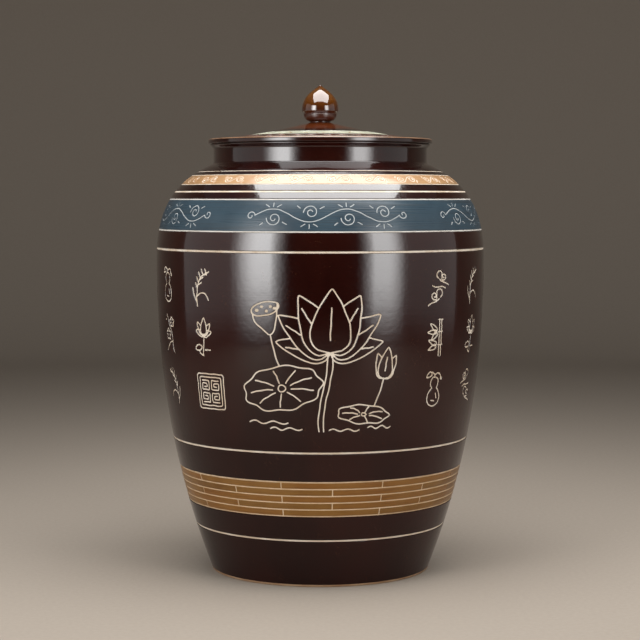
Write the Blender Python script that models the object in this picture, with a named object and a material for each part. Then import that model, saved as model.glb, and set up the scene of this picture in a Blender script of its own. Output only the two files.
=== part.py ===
# Rice storage jar: a turned stoneware jar, its lift-off lid with a bud knob, and the lid's seal ring.
# Metres, +Z up. The origin is the centre of the foot, on the surface that the jar stands on.
# Every piece is a section, a line of (radius, height) points, turned about the Z axis.

import math

import bpy

# Facets round the axis, and steps along each kind of curve
SEGMENTS = 64
KNOB_SEGMENTS = 32
WALL_STEPS = 12
DOME_STEPS = 10
CROWN_STEPS = 10
ROLL_STEPS = 5
BEND_STEPS = 3

# Clearance between pieces that touch
SEAT_GAP = 0.0003

# Foot
FOOT_RADIUS = 0.110
FOOT_ROUND = 0.0015
FOOT_WIDTH = 0.012
FOOT_RECESS = 0.006

# Belly and shoulder: where the curves meet, how they lean there and how far they follow that lean
HEEL_LEAN = math.radians(21.0)
HEEL_PULL = 0.102
BELLY_RADIUS = 0.165
BELLY_HEIGHT = 0.317
BELLY_PULL_DOWN = 0.126
BELLY_PULL_UP = 0.0678
SHOULDER_SLOPE = math.radians(26.0)
SHOULDER_PULL = 0.017

# Walls
WALL = 0.008
FLOOR = 0.012
FLOOR_CORNER = 0.022
NECK_WALL = 0.0085

# Mouth, neck and lip
MOUTH_RADIUS = 0.099
RIM_HEIGHT = 0.4284
NECK_LENGTH = 0.0179
NECK_FILLET = 0.0023
THROAT_LENGTH = 0.0124
LIP_OVERHANG = 0.0033
LIP_THICKNESS = 0.0012
LIP_ROUND = 0.0006
LIP_FLARE = math.radians(40.0)

# Lid
LID_OVERHANG = 0.0021
LID_EDGE = 0.0049
LID_EDGE_ROUND = 0.0020
LID_EDGE_FOOT = 0.0008
LID_WALL = 0.0050
DOME_RISE = 0.0195
DOME_POWER = 1.5

# The lid's spigot, which drops into the mouth, and its hollow
SPIGOT_CLEARANCE = 0.0045
SPIGOT_DEPTH = 0.016
SPIGOT_WALL = 0.005
SPIGOT_ROUND = 0.0010
HOLLOW_CORNER = 0.0045

# Seal ring and the groove that holds it
GROOVE_LAND = 0.0035
GROOVE_WIDTH = 0.0055
GROOVE_DEPTH = 0.0020
SEAL_BACK = 0.0020
SEAL_LIP = 0.0016

# Knob, from its foot up: a roll, a pinch, the bud's widest place and the pointed crown
KNOB_FOOT_RADIUS = 0.0098
KNOB_FOOT_HEIGHT = 0.0004
ROLL_LEAN = math.radians(15.0)
ROLL_PULL = 0.0044
ROLL_RADIUS = 0.0166
ROLL_RISE = 0.0072
ROLL_TAPER = math.radians(8.0)
PINCH_RADIUS = 0.0163
PINCH_RISE = 0.0008
BUD_RADIUS = 0.0185
BUD_RISE = 0.0032
CROWN_RISE = 0.0250
CROWN_PULL = 0.0150
TIP_SLOPE = math.radians(38.0)
TIP_PULL = 0.0080
TIP_RADIUS = 0.0008

# Sizes that follow from those above
UP = math.pi / 2
NECK_RADIUS = MOUTH_RADIUS + NECK_WALL
NECK_START = RIM_HEIGHT - NECK_LENGTH
LIP_RADIUS = NECK_RADIUS + LIP_OVERHANG
LID_RADIUS = LIP_RADIUS + LID_OVERHANG
DOME_EDGE = LID_RADIUS - LID_EDGE_ROUND
SPIGOT_RADIUS = MOUTH_RADIUS - SPIGOT_CLEARANCE
HOLLOW_RADIUS = SPIGOT_RADIUS - SPIGOT_WALL
GROOVE_RADIUS = SPIGOT_RADIUS - GROOVE_DEPTH
GROOVE_BOTTOM = GROOVE_LAND - SPIGOT_DEPTH
GROOVE_TOP = GROOVE_BOTTOM + GROOVE_WIDTH


def moved(point, angle, distance):
    return (point[0] + distance * math.cos(angle), point[1] + distance * math.sin(angle))


def arc(centre, radius, start, end, steps):
    """Points on a circle, from the angle start to the angle end, both ends included."""
    return [moved(centre, start + (end - start) * i / steps, radius) for i in range(steps + 1)]


def bezier(start, first_pull, second_pull, end, steps):
    """Points on a cubic curve, both ends included."""
    points = []
    for i in range(steps + 1):
        t = i / steps
        weights = ((1 - t) ** 3, 3 * (1 - t) ** 2 * t, 3 * (1 - t) * t**2, t**3)
        corners = (start, first_pull, second_pull, end)
        points.append(tuple(sum(w * c[k] for w, c in zip(weights, corners)) for k in (0, 1)))
    return points


def set_in(points, distance):
    """The same curve moved by distance towards the axis, for a curve that runs up."""
    inner = []
    for i, (radius, height) in enumerate(points):
        before = points[max(i - 1, 0)]
        after = points[min(i + 1, len(points) - 1)]
        run, rise = after[0] - before[0], after[1] - before[1]
        length = math.hypot(run, rise)
        inner.append((radius - distance * rise / length, height + distance * run / length))
    return inner


def joined(*stretches):
    """One section out of several stretches, without the points that repeat the one before."""
    section = []
    for point in (p for stretch in stretches for p in stretch):
        if not section or math.dist(section[-1], point) > 1e-6:
            section.append(point)
    return section


def material(name, colour, roughness, coat):
    made = bpy.data.materials.new(name)
    made.use_nodes = True
    made.diffuse_color = (*colour, 1.0)
    shader = made.node_tree.nodes["Principled BSDF"]
    shader.inputs["Base Color"].default_value = (*colour, 1.0)
    shader.inputs["Roughness"].default_value = roughness
    shader.inputs["Metallic"].default_value = 0.0
    shader.inputs["Coat Weight"].default_value = coat
    return made


def turned(name, section, finish, segments=SEGMENTS, ring=False, parent=None):
    """A section turned about Z. It starts and ends on the axis, or closes on itself for a ring."""
    edges = [(i, i + 1) for i in range(len(section) - 1)]
    if ring:
        edges.append((len(section) - 1, 0))
    mesh = bpy.data.meshes.new(name)
    mesh.from_pydata([(radius, 0.0, height) for radius, height in section], edges, [])
    mesh.materials.append(finish)
    piece = bpy.data.objects.new(name, mesh)
    bpy.context.scene.collection.objects.link(piece)
    piece.parent = parent
    screw = piece.modifiers.new("Turn", "SCREW")
    screw.axis = "Z"
    screw.steps = segments
    screw.render_steps = segments
    screw.use_merge_vertices = True
    screw.merge_threshold = 1e-6
    screw.use_smooth_shade = True
    return piece


def wall_curves():
    """The outer side in two curves: from the heel up to the belly, and on up to the neck's fillet."""
    heel = (FOOT_RADIUS, FOOT_ROUND)
    belly = (BELLY_RADIUS, BELLY_HEIGHT)
    fillet_centre = (NECK_RADIUS + NECK_FILLET, NECK_START)
    fillet = arc(fillet_centre, NECK_FILLET, UP * 3 - SHOULDER_SLOPE, UP * 2, BEND_STEPS)
    lower = bezier(
        heel,
        moved(heel, UP - HEEL_LEAN, HEEL_PULL),
        moved(belly, -UP, BELLY_PULL_DOWN),
        belly,
        WALL_STEPS,
    )
    shoulder = bezier(
        belly,
        moved(belly, UP, BELLY_PULL_UP),
        moved(fillet[0], -SHOULDER_SLOPE, SHOULDER_PULL),
        fillet[0],
        WALL_STEPS,
    )
    return joined(lower, shoulder), fillet


def outer_side():
    """From the heel up to the flat top of the lip."""
    wall, fillet = wall_curves()
    throat = (NECK_RADIUS, NECK_START + THROAT_LENGTH)
    lip_foot = (LIP_RADIUS, RIM_HEIGHT - LIP_THICKNESS)
    half_rise = (lip_foot[1] - throat[1]) / 2
    flare = bezier(
        throat,
        moved(throat, UP, half_rise),
        moved(lip_foot, -UP - LIP_FLARE, half_rise),
        lip_foot,
        BEND_STEPS,
    )
    lip = arc((LIP_RADIUS - LIP_ROUND, RIM_HEIGHT - LIP_ROUND), LIP_ROUND, 0, UP, BEND_STEPS)
    return joined(wall, fillet, flare, lip)


def inner_side():
    """From the middle of the floor up to the flat top of the lip, with every other point of the wall."""
    wall, fillet = wall_curves()
    floor_top = FOOT_RECESS + FLOOR
    corner_top = floor_top + FLOOR_CORNER
    climb = [
        point
        for point in set_in(wall, WALL)[::2]
        if point[1] > corner_top and point[0] > MOUTH_RADIUS + LIP_ROUND
    ]
    corner_end = (climb[0][0] - (climb[0][1] - corner_top) * math.tan(HEEL_LEAN), corner_top)
    corner_start = (corner_end[0] - FLOOR_CORNER, floor_top)
    corner = bezier(
        corner_start,
        moved(corner_start, 0, FLOOR_CORNER / 2),
        moved(corner_end, -UP - HEEL_LEAN, FLOOR_CORNER / 2),
        corner_end,
        BEND_STEPS,
    )
    mouth_foot = (MOUTH_RADIUS, climb[-1][1] + WALL / 2)
    mouth = arc((MOUTH_RADIUS + LIP_ROUND, RIM_HEIGHT - LIP_ROUND), LIP_ROUND, UP * 2, UP, BEND_STEPS)
    return joined([(0.0, floor_top)], corner, climb, [mouth_foot], mouth)


def underside():
    """From the heel round the foot ring and into its shallow recess."""
    inner_foot = FOOT_RADIUS - FOOT_ROUND - FOOT_WIDTH
    return joined(
        arc((FOOT_RADIUS - FOOT_ROUND, FOOT_ROUND), FOOT_ROUND, 0, -UP, BEND_STEPS),
        [
            (inner_foot, 0.0),
            (inner_foot - FOOT_ROUND, FOOT_ROUND),
            (inner_foot - FOOT_ROUND * 2, FOOT_RECESS),
            (0.0, FOOT_RECESS),
        ],
    )


def body_section():
    return joined(inner_side(), reversed(outer_side()), underside())


def dome_height(radius):
    """Height of the lid's top face over its seat: nearly level at the edge, steeper towards the knob."""
    return LID_EDGE + DOME_RISE * (1 - radius / DOME_EDGE) ** DOME_POWER


def lid_section():
    """From the seat of the knob over the dome and the edge, down the spigot and up into the hollow."""
    span = DOME_EDGE - KNOB_FOOT_RADIUS
    radii = [KNOB_FOOT_RADIUS + span * i / DOME_STEPS for i in range(DOME_STEPS + 1)]
    dome = [(radius, dome_height(radius)) for radius in radii]
    rim = joined(
        arc((DOME_EDGE, LID_EDGE - LID_EDGE_ROUND), LID_EDGE_ROUND, UP, 0, BEND_STEPS),
        arc((LID_RADIUS - LID_EDGE_FOOT, LID_EDGE_FOOT), LID_EDGE_FOOT, 0, -UP, BEND_STEPS),
    )
    spigot = [
        (SPIGOT_RADIUS, 0.0),
        (SPIGOT_RADIUS, GROOVE_TOP),
        (GROOVE_RADIUS, GROOVE_TOP),
        (GROOVE_RADIUS, GROOVE_BOTTOM),
        (SPIGOT_RADIUS, GROOVE_BOTTOM),
        (SPIGOT_RADIUS, SPIGOT_ROUND - SPIGOT_DEPTH),
        (SPIGOT_RADIUS - SPIGOT_ROUND, -SPIGOT_DEPTH),
        (HOLLOW_RADIUS, -SPIGOT_DEPTH),
    ]
    ceiling_edge = HOLLOW_RADIUS - HOLLOW_CORNER
    ceiling = [
        (radius, dome_height(radius) - LID_WALL) for radius in radii[::-2] if radius < ceiling_edge
    ]
    corner_top = dome_height(ceiling_edge) - LID_WALL
    corner = arc((ceiling_edge, corner_top - HOLLOW_CORNER), HOLLOW_CORNER, 0, UP, BEND_STEPS)
    return joined([(0.0, dome[0][1])], dome, rim, spigot, corner, ceiling, [(0.0, ceiling[-1][1])])


def seal_section():
    """A flat back in the groove and two soft lips that reach out to the neck."""
    inner = GROOVE_RADIUS + SEAT_GAP
    back = inner + SEAL_BACK
    reach = MOUTH_RADIUS - SEAT_GAP
    top = GROOVE_TOP - SEAT_GAP
    bottom = GROOVE_BOTTOM + SEAT_GAP
    droop = SEAL_LIP / 4
    return [
        (inner, top),
        (back, top),
        (reach, top - droop),
        (back, top - SEAL_LIP),
        (back, bottom + SEAL_LIP),
        (reach, bottom + SEAL_LIP - droop),
        (back, bottom),
        (inner, bottom),
    ]


def knob_section():
    """From the pointed tip down to the flat foot."""
    foot = (KNOB_FOOT_RADIUS, KNOB_FOOT_HEIGHT)
    roll = (ROLL_RADIUS, foot[1] + ROLL_RISE)
    pinch = (PINCH_RADIUS, roll[1] + PINCH_RISE)
    bud = (BUD_RADIUS, pinch[1] + BUD_RISE)
    tip = (TIP_RADIUS, bud[1] + CROWN_RISE)
    crown = bezier(
        tip, moved(tip, -TIP_SLOPE, TIP_PULL), moved(bud, UP, CROWN_PULL), bud, CROWN_STEPS
    )
    under_bud = bezier(
        bud, moved(bud, -UP, BUD_RISE / 2), moved(pinch, UP, BUD_RISE / 4), pinch, BEND_STEPS
    )
    over_roll = bezier(
        pinch, moved(pinch, -UP, PINCH_RISE / 3), moved(roll, UP, PINCH_RISE / 3), roll, BEND_STEPS
    )
    under_roll = bezier(
        roll,
        moved(roll, -UP - ROLL_TAPER, ROLL_PULL),
        moved(foot, ROLL_LEAN, ROLL_PULL),
        foot,
        ROLL_STEPS,
    )
    return joined(
        [(0.0, tip[1] + TIP_RADIUS / 2)],
        crown,
        under_bud,
        over_roll,
        under_roll,
        [(KNOB_FOOT_RADIUS, 0.0), (0.0, 0.0)],
    )


def build():
    for old in list(bpy.data.objects):
        bpy.data.objects.remove(old, do_unlink=True)

    brown_glaze = material("brown_glaze", (0.030, 0.008, 0.005), 0.08, 1.0)
    amber_glaze = material("amber_glaze", (0.300, 0.070, 0.012), 0.08, 1.0)
    clear_silicone = material("clear_silicone", (0.620, 0.600, 0.560), 0.45, 0.0)

    turned("jar_body", body_section(), brown_glaze)

    # The lid, its knob and its seal lift together, and the lid turns in its seat, about the jar's axis.
    seat = bpy.data.objects.new("lid_seat", None)
    seat.location = (0.0, 0.0, RIM_HEIGHT + SEAT_GAP)
    bpy.context.scene.collection.objects.link(seat)
    turned("lid", lid_section(), brown_glaze, parent=seat)
    turned("seal_ring", seal_section(), clear_silicone, ring=True, parent=seat)
    knob = turned("lid_knob", knob_section(), amber_glaze, KNOB_SEGMENTS, parent=seat)
    knob.location = (0.0, 0.0, dome_height(KNOB_FOOT_RADIUS) + SEAT_GAP)


build()
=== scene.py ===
# Looks of a rice storage jar: turned stoneware in brown glaze with lines carved down to cream clay,
# two coloured slip bands, a band of bamboo slips, a domed lid with an amber bud knob, and its seal ring.
# Metres, +Z up. The front of the jar faces -Y, and face angles run from there towards +X.
import math
import random

import bpy
import numpy as np
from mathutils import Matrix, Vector, kdtree
from mathutils.geometry import delaunay_2d_cdt


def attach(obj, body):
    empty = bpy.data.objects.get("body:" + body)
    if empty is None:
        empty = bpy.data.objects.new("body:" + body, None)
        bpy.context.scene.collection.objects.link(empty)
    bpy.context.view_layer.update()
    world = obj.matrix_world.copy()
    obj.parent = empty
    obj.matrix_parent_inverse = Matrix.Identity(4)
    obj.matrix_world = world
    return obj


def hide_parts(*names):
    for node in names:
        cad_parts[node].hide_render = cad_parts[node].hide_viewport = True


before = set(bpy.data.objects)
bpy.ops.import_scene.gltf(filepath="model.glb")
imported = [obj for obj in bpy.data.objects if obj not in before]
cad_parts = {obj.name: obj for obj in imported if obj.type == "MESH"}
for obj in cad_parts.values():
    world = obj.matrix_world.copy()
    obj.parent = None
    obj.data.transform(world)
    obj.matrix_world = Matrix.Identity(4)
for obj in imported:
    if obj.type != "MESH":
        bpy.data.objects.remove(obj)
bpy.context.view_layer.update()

mm = 0.001
upright = math.pi / 2
onAxis = 1e-6  # a row of points nearer to the axis than this is a single point
oneStrip = 1.0  # a step longer than any strip, so that the strip gets a row at its two ends only
print("frame:", ", ".join(sorted(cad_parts)))


# Camera: the picture's own view, a little above the belly and looking slightly down
cameraSet = {"place": (-0.0002, -1.8840, 0.37599), "lookDown": 3.7921, "lens": 104.70, "sensor": 36.0}

eye = bpy.data.objects.new("camera", bpy.data.cameras.new("camera"))
eye.location = cameraSet["place"]
eye.rotation_euler = (math.radians(90 - cameraSet["lookDown"]), 0, 0)
eye.data.lens = cameraSet["lens"]
eye.data.sensor_width = cameraSet["sensor"]
bpy.context.scene.collection.objects.link(eye)
bpy.context.scene.camera = eye
bpy.context.scene.view_settings.view_transform = "Standard"
print("camera set")


# Lines and curves in a plane, as rows of (x, y)
def ahead(point, angle, distance):
    return (point[0] + distance * math.cos(angle), point[1] + distance * math.sin(angle))


def bend(start, firstPull, secondPull, end, count):
    t = np.linspace(0, 1, count)[:, None]
    a, b, c, d = (np.array(p, float) for p in (start, firstPull, secondPull, end))
    return (1 - t) ** 3 * a + 3 * (1 - t) ** 2 * t * b + 3 * (1 - t) * t**2 * c + t**3 * d


def sweep(start, startWay, startPull, end, endWay, endPull, count):
    # a curve that leaves each of its two ends along an angle
    return bend(start, ahead(start, startWay, startPull), ahead(end, endWay, endPull), end, count)


def turn(centre, radius, start, end, count):
    a = np.linspace(start, end, count)
    return np.column_stack((centre[0] + radius * np.cos(a), centre[1] + radius * np.sin(a)))


def chain(*parts):
    rows = np.vstack([np.asarray(p, float).reshape(-1, 2) for p in parts])
    apart = np.r_[True, np.hypot(*np.diff(rows, axis=0).T) > 1e-7]
    return rows[apart]


def runningLength(points):
    return np.r_[0, np.cumsum(np.hypot(*np.diff(points, axis=0).T))]


def evenly(points, spacing):
    along = runningLength(points)
    count = max(3, int(round(along[-1] / spacing)) + 1)
    at = np.linspace(0, along[-1], count)
    return np.column_stack((np.interp(at, along, points[:, 0]), np.interp(at, along, points[:, 1])))


class Outline:
    # a line of the section that runs up the outside, with its places given by running length
    def __init__(self, points):
        self.points = points
        self.length = runningLength(points)
        way = np.gradient(points, self.length, axis=0)
        self.out = np.column_stack((way[:, 1], -way[:, 0])) / np.hypot(*way.T)[:, None]

    def at(self, length, depth=0.0):
        columns = (*self.points.T, *self.out.T)
        radius, height, outR, outZ = (np.interp(length, self.length, column) for column in columns)
        return np.stack((radius - depth * outR, height - depth * outZ, outR, outZ), axis=-1)

    def rows(self, start, end, step, depth=0.0, tone=0):
        count = max(2, int(math.ceil((end - start) / step)) + 1)
        return [(*self.at(s, depth), tone) for s in np.linspace(start, end, count)]

    def atHeight(self, height):
        return float(np.interp(height, self.points[:, 1], self.length))

    def atRadius(self, radius):
        return float(np.interp(-radius, -self.points[:, 0], self.length))


# Turned meshes. A row is (radius, height, outR, outZ, tone): its point, the way the surface faces there,
# or two zeros to take that from the section, and the material of the strip that follows.
def smoothRows(points, tone=0):
    return [(r, z, 0.0, 0.0, tone) for r, z in points]


# Faces that meet at less than the soft angle are shaded as one. The way that a row itself gives counts where
# the flat face is within the trust angle of it.
shading = {"soft": math.radians(38), "trust": math.radians(30)}


def stripNormals(rows, ring):
    data = np.array(rows, float)
    points, given = data[:, :2], data[:, 2:4]
    after = np.roll(points, -1, axis=0)
    way = after - points
    size = np.maximum(np.hypot(*way.T), 1e-9)
    flat = np.column_stack((way[:, 1], -way[:, 0])) / size[:, None]
    flatBefore, sizeBefore = np.roll(flat, 1, axis=0), np.roll(size, 1)
    mixed = flat / size[:, None] + flatBefore / sizeBefore[:, None]
    mixed /= np.maximum(np.hypot(*mixed.T), 1e-9)[:, None]
    soft = (flat * flatBefore).sum(1) > math.cos(shading["soft"])
    if not ring:
        soft[0] = soft[-1] = False
    known = np.hypot(*given.T) > 0.5

    def corner(strip, row):
        found = np.where(soft[row][:, None], mixed[row], flat[strip])
        close = known[row] & ((flat[strip] * given[row]).sum(1) > math.cos(shading["trust"]))
        return np.where(close[:, None], given[row], found)

    strips = np.arange(len(rows))
    return corner(strips, strips), corner(strips, np.roll(strips, -1))


def turnedMesh(name, rows, columns, ring=False, carved=None, finishes=()):
    # carved maps a row's number to the carved sheet that fills the strip above it
    carved = carved or {}
    data = np.array(rows, float)
    count = len(rows)
    angles = -math.pi + 2 * math.pi * np.arange(columns) / columns
    around = np.column_stack((np.sin(angles), -np.cos(angles)))
    points, starts = [], []
    for radius, height in data[:, :2]:
        starts.append(sum(len(p) for p in points))
        if radius < onAxis:
            points.append(np.array([[0.0, 0.0, height]]))
        else:
            points.append(np.column_stack((around * radius, np.full(columns, height))))
    lowNormal, highNormal = stripNormals(rows, ring)
    column = np.arange(columns)
    nextColumn = (column + 1) % columns
    faces, normals, tones = [], [], []

    def facing(normal, columnsOf):
        return np.column_stack((around[columnsOf] * normal[0], np.full(len(columnsOf), normal[1])))

    for i in range(count if ring else count - 1):
        j = (i + 1) % count
        tone = int(data[i, 4])
        if i in carved:
            made, where, facingThere = carved[i].fill(starts[i], starts[j], sum(len(p) for p in points))
            points.append(where)
            faces += made.tolist()
            normals.append(facingThere.reshape(-1, 3))
            tones += [tone] * len(made)
            continue
        low, high = starts[i], starts[j]
        lowPair = (facing(lowNormal[i], column), facing(lowNormal[i], nextColumn))
        highPair = (facing(highNormal[i], nextColumn), facing(highNormal[i], column))
        if data[i, 0] < onAxis:
            quads = np.column_stack((np.full(columns, low), high + nextColumn, high + column))
            turnsTo = [lowPair[0], *highPair]
        elif data[j, 0] < onAxis:
            quads = np.column_stack((low + column, low + nextColumn, np.full(columns, high)))
            turnsTo = [*lowPair, highPair[1]]
        else:
            quads = np.column_stack((low + column, low + nextColumn, high + nextColumn, high + column))
            turnsTo = [*lowPair, *highPair]
        faces += quads.tolist()
        normals.append(np.stack(turnsTo, axis=1).reshape(-1, 3))
        tones += [tone] * columns
    return meshPiece(name, np.vstack(points), faces, np.vstack(normals), tones, finishes)


def meshPiece(name, points, faces, normals=None, tones=None, finishes=()):
    mesh = bpy.data.meshes.new(name)
    mesh.from_pydata(np.asarray(points).tolist(), [], faces)
    for finish in finishes:
        mesh.materials.append(finish)
    if tones is not None:
        mesh.polygons.foreach_set("material_index", np.array(tones, np.int32))
    mesh.shade_smooth()
    if normals is None:
        mesh.set_sharp_from_angle(angle=shading["soft"])
    else:
        mesh.normals_split_custom_set(normals.tolist())
    piece = bpy.data.objects.new(name, mesh)
    bpy.context.scene.collection.objects.link(piece)
    return piece


def joinPieces(name, pieces):
    with bpy.context.temp_override(active_object=pieces[0], selected_editable_objects=pieces):
        bpy.ops.object.join()
    pieces[0].name = name
    return pieces[0]


# A sheet of the wall with strokes carved in it. It is laid out flat in millimetres: across is the face angle
# times the sheet's own radius, up is the running length of the outline.
sheetSet = {"fine": 0.25, "clear": 2.2, "gridStep": 5.0, "weld": 0.01, "onRim": 0.001}


class CarvedSheet:
    def __init__(self, low, high, columns, strokeSets, depth, place, gridStep=sheetSet["gridStep"]):
        self.low, self.high, self.columns = low / mm, high / mm, columns
        self.sets, self.depth, self.place = strokeSets, depth, place
        self.radius = float(place((low + high) / 2, 0.0)[0]) / mm
        self.width = 2 * math.pi * self.radius
        self.gridStep = gridStep
        self.layOut()

    def flat(self, angle, length, strokes):
        # strokes drawn in millimetres about a point of the wall, turned into the sheet's own layout
        stretch = self.radius / (float(self.place(length, 0.0)[0]) / mm)
        return [
            (np.column_stack((angle * self.radius + line[:, 0] * stretch, length / mm + line[:, 1])), closed)
            for line, closed in strokes
        ]

    def layOut(self):
        lines, samples, halves, walls, owners = [], [], [], [], []
        for owner, strokes in enumerate(self.sets):
            half, wall = strokes["half"] / mm, strokes["wall"] / mm
            for angle, length, drawing in strokes["drawings"]:
                for line, closed in self.flat(angle, length, drawing):
                    line = evenly(line, strokes["spacing"])
                    lines += outlines(line, closed, half) + outlines(line, closed, half + wall)
                    fine = evenly(line, sheetSet["fine"])
                    samples.append(fine)
                    halves += [half] * len(fine)
                    walls += [wall] * len(fine)
                    owners += [owner] * len(fine)
        samples = np.vstack(samples)
        tree = kdtree.KDTree(len(samples))
        for i, (x, y) in enumerate(samples):
            tree.insert((x, y, 0), i)
        tree.balance()

        edge = self.width / 2
        across = np.linspace(-edge, edge, self.columns + 1)
        rowCount = max(1, int(math.ceil((self.high - self.low) / self.gridStep)))
        ups = np.linspace(self.low, self.high, rowCount + 1)
        points = [(x, up) for up in (self.low, self.high) for x in across]
        for up in ups[1:-1]:
            points += [(-edge, up), (edge, up)]
            for x in across[2:-2:2]:
                if tree.find((x, up, 0))[2] > sheetSet["clear"]:
                    points.append((x, up))
        edges = []
        for line in lines:
            first = len(points)
            points += [tuple(p) for p in line]
            edges += [(first + k, first + (k + 1) % len(line)) for k in range(len(line))]
        made = delaunay_2d_cdt(points, edges, [], 0, sheetSet["weld"])
        self.points = np.array([tuple(p) for p in made[0]], float)
        self.faces = np.array([f for f in made[2] if len(f) == 3], int)

        near = np.array([tree.find((x, y, 0))[1:] for x, y in self.points])
        nearest, gap = near[:, 0].astype(int), near[:, 1]
        halves, walls, owners = np.array(halves), np.array(walls), np.array(owners)
        self.carvedIn = gap < halves[nearest] + walls[nearest] / 2
        inside = self.carvedIn[self.faces].all(1)
        middle = self.points[self.faces].mean(1)
        owner = np.full(len(self.faces), -1)
        for f in np.flatnonzero(inside):
            _, sample, distance = tree.find((*middle[f], 0))
            if distance < halves[sample] + walls[sample] / 2:
                owner[f] = owners[sample]
        self.owner = owner

    def at(self, depths):
        spots = self.place(self.points[:, 1] * mm, depths)
        angle = self.points[:, 0] / self.radius
        around = np.column_stack((np.sin(angle), -np.cos(angle)))
        where = np.column_stack((around * spots[:, :1], spots[:, 1]))
        facing = np.column_stack((around * spots[:, 2:3], spots[:, 3]))
        return where, facing / np.linalg.norm(facing, axis=1)[:, None]

    def fill(self, lowStart, highStart, firstNew):
        # the sheet's rims take the points of the rows below and above it, and its two ends meet at the back
        onRim = sheetSet["onRim"]
        where, facing = self.at(np.where(self.carvedIn, self.depth, 0.0))
        x, y = self.points.T
        column = np.rint((x / self.width + 0.5) * self.columns).astype(int) % self.columns
        number = np.full(len(x), -1)
        onLow, onHigh = abs(y - self.low) < onRim, abs(y - self.high) < onRim
        number[onLow] = lowStart + column[onLow]
        number[onHigh] = highStart + column[onHigh]
        last = (abs(x - self.width / 2) < onRim) & (number < 0)
        keep = (number < 0) & ~last
        number[keep] = firstNew + np.arange(keep.sum())
        first = np.flatnonzero((abs(x + self.width / 2) < onRim) & keep)
        for k in np.flatnonzero(last):
            number[k] = number[first[np.argmin(abs(y[first] - y[k]))]]
        p = where[self.faces]
        flatNormal = np.cross(p[:, 1] - p[:, 0], p[:, 2] - p[:, 0])
        flatNormal /= np.maximum(np.linalg.norm(flatNormal, axis=1), 1e-15)[:, None]
        corners = facing[self.faces]
        deep = self.carvedIn[self.faces]
        slope = deep.any(1) & ~deep.all(1)
        tilt = np.where(deep[..., None], flatNormal[:, None], flatNormal[:, None] + corners)
        tilt /= np.maximum(np.linalg.norm(tilt, axis=2), 1e-9)[..., None]
        corners = np.where(slope[:, None, None], tilt, corners)
        return number[self.faces], where[keep], corners

    def clay(self, name, owner, top, bottom, finish):
        # the cream strip on the floor of one set's grooves, closed all round
        chosen = self.faces[self.owner == owner]
        used, index = np.unique(chosen, return_inverse=True)
        index = index.reshape(-1, 3)
        upper, _ = self.at(np.full(len(self.points), top))
        lower, _ = self.at(np.full(len(self.points), bottom))
        count = len(used)
        ends = np.vstack((index[:, [0, 1]], index[:, [1, 2]], index[:, [2, 0]]))
        keys = {(a, b) for a, b in ends.tolist()}
        rim = [(b, a, a + count, b + count) for a, b in keys if (b, a) not in keys]
        faces = index.tolist() + (index[:, ::-1] + count).tolist() + sorted(rim)
        return meshPiece(name, np.vstack((upper[used], lower[used])), faces, finishes=(finish,))


def outlines(line, closed, distance):
    # closed loops at one distance round a stroke
    if closed:
        before, after = np.roll(line[:-1], 1, axis=0), np.roll(line[:-1], -1, axis=0)
        body = line[:-1]
    else:
        before, after = np.vstack((line[:1], line[:-1])), np.vstack((line[1:], line[-1:]))
        body = line
    way = after - before
    way /= np.maximum(np.hypot(*way.T), 1e-9)[:, None]
    out = np.column_stack((-way[:, 1], way[:, 0])) * distance
    if closed:
        return [body + out, body - out]
    caps = []
    for centre, direction in ((line[-1], way[-1]), (line[0], -way[0])):
        facing = math.atan2(direction[1], direction[0])
        caps.append(turn(centre, distance, facing + upright, facing - upright, 7)[1:-1])
    return [np.vstack((body + out, caps[0], (body - out)[::-1], caps[1]))]


# Strokes. A drawing is a list of (points in millimetres, closed or not).
strokeStep = 0.8


def stroke(*parts):
    return (chain(*parts), False)


def loop(*parts):
    points = chain(*parts)
    return (np.vstack((points, points[:1])), True)


def curl(centre, startRadius, endRadius, startAngle, endAngle, count=40):
    a = np.linspace(math.radians(startAngle), math.radians(endAngle), count)
    r = np.linspace(startRadius, endRadius, count)
    return np.column_stack((centre[0] + r * np.cos(a), centre[1] + r * np.sin(a)))


def ovalLine(centre, across, up, tilt=0.0, count=48, waves=0, ripple=0.0):
    a = np.linspace(0, 2 * math.pi, count, endpoint=False)
    c, s = math.cos(math.radians(tilt)), math.sin(math.radians(tilt))
    swell = 1 + ripple * np.cos(waves * a)
    x, y = across * swell * np.cos(a), up * swell * np.sin(a)
    return np.column_stack((centre[0] + x * c - y * s, centre[1] + x * s + y * c))


def leafLine(base, tilt, length, width, swell=0.55, count=26):
    # a petal or a leaf from its base to its point, tilt in degrees from straight up
    t = np.linspace(0, 1, count)
    half = width / 2 * np.sin(math.pi * t**swell) ** 0.8
    half[0] = half[-1] = 0
    c, s = math.cos(math.radians(tilt)), math.sin(math.radians(tilt))
    right = np.column_stack((half, t * length))
    left = np.column_stack((-half, t * length))[::-1][1:-1]
    x, y = np.vstack((right, left)).T
    return np.column_stack((base[0] + x * c + y * s, base[1] - x * s + y * c))


def ray(base, tilt, start, end):
    # a straight stroke that points away from base, tilt in degrees from straight up
    way = np.array((math.sin(math.radians(tilt)), math.cos(math.radians(tilt))))
    return stroke(np.array(base) + way * start, np.array(base) + way * end)


def insideOf(points, outline):
    x, y = points.T
    found = np.zeros(len(points), bool)
    for (x0, y0), (x1, y1) in zip(outline, np.roll(outline, -1, axis=0)):
        crosses = (y0 > y) != (y1 > y)
        if crosses.any():
            found ^= crosses & (x < (x1 - x0) * (y - y0) / (y1 - y0 + 1e-12) + x0)
    return found


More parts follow.
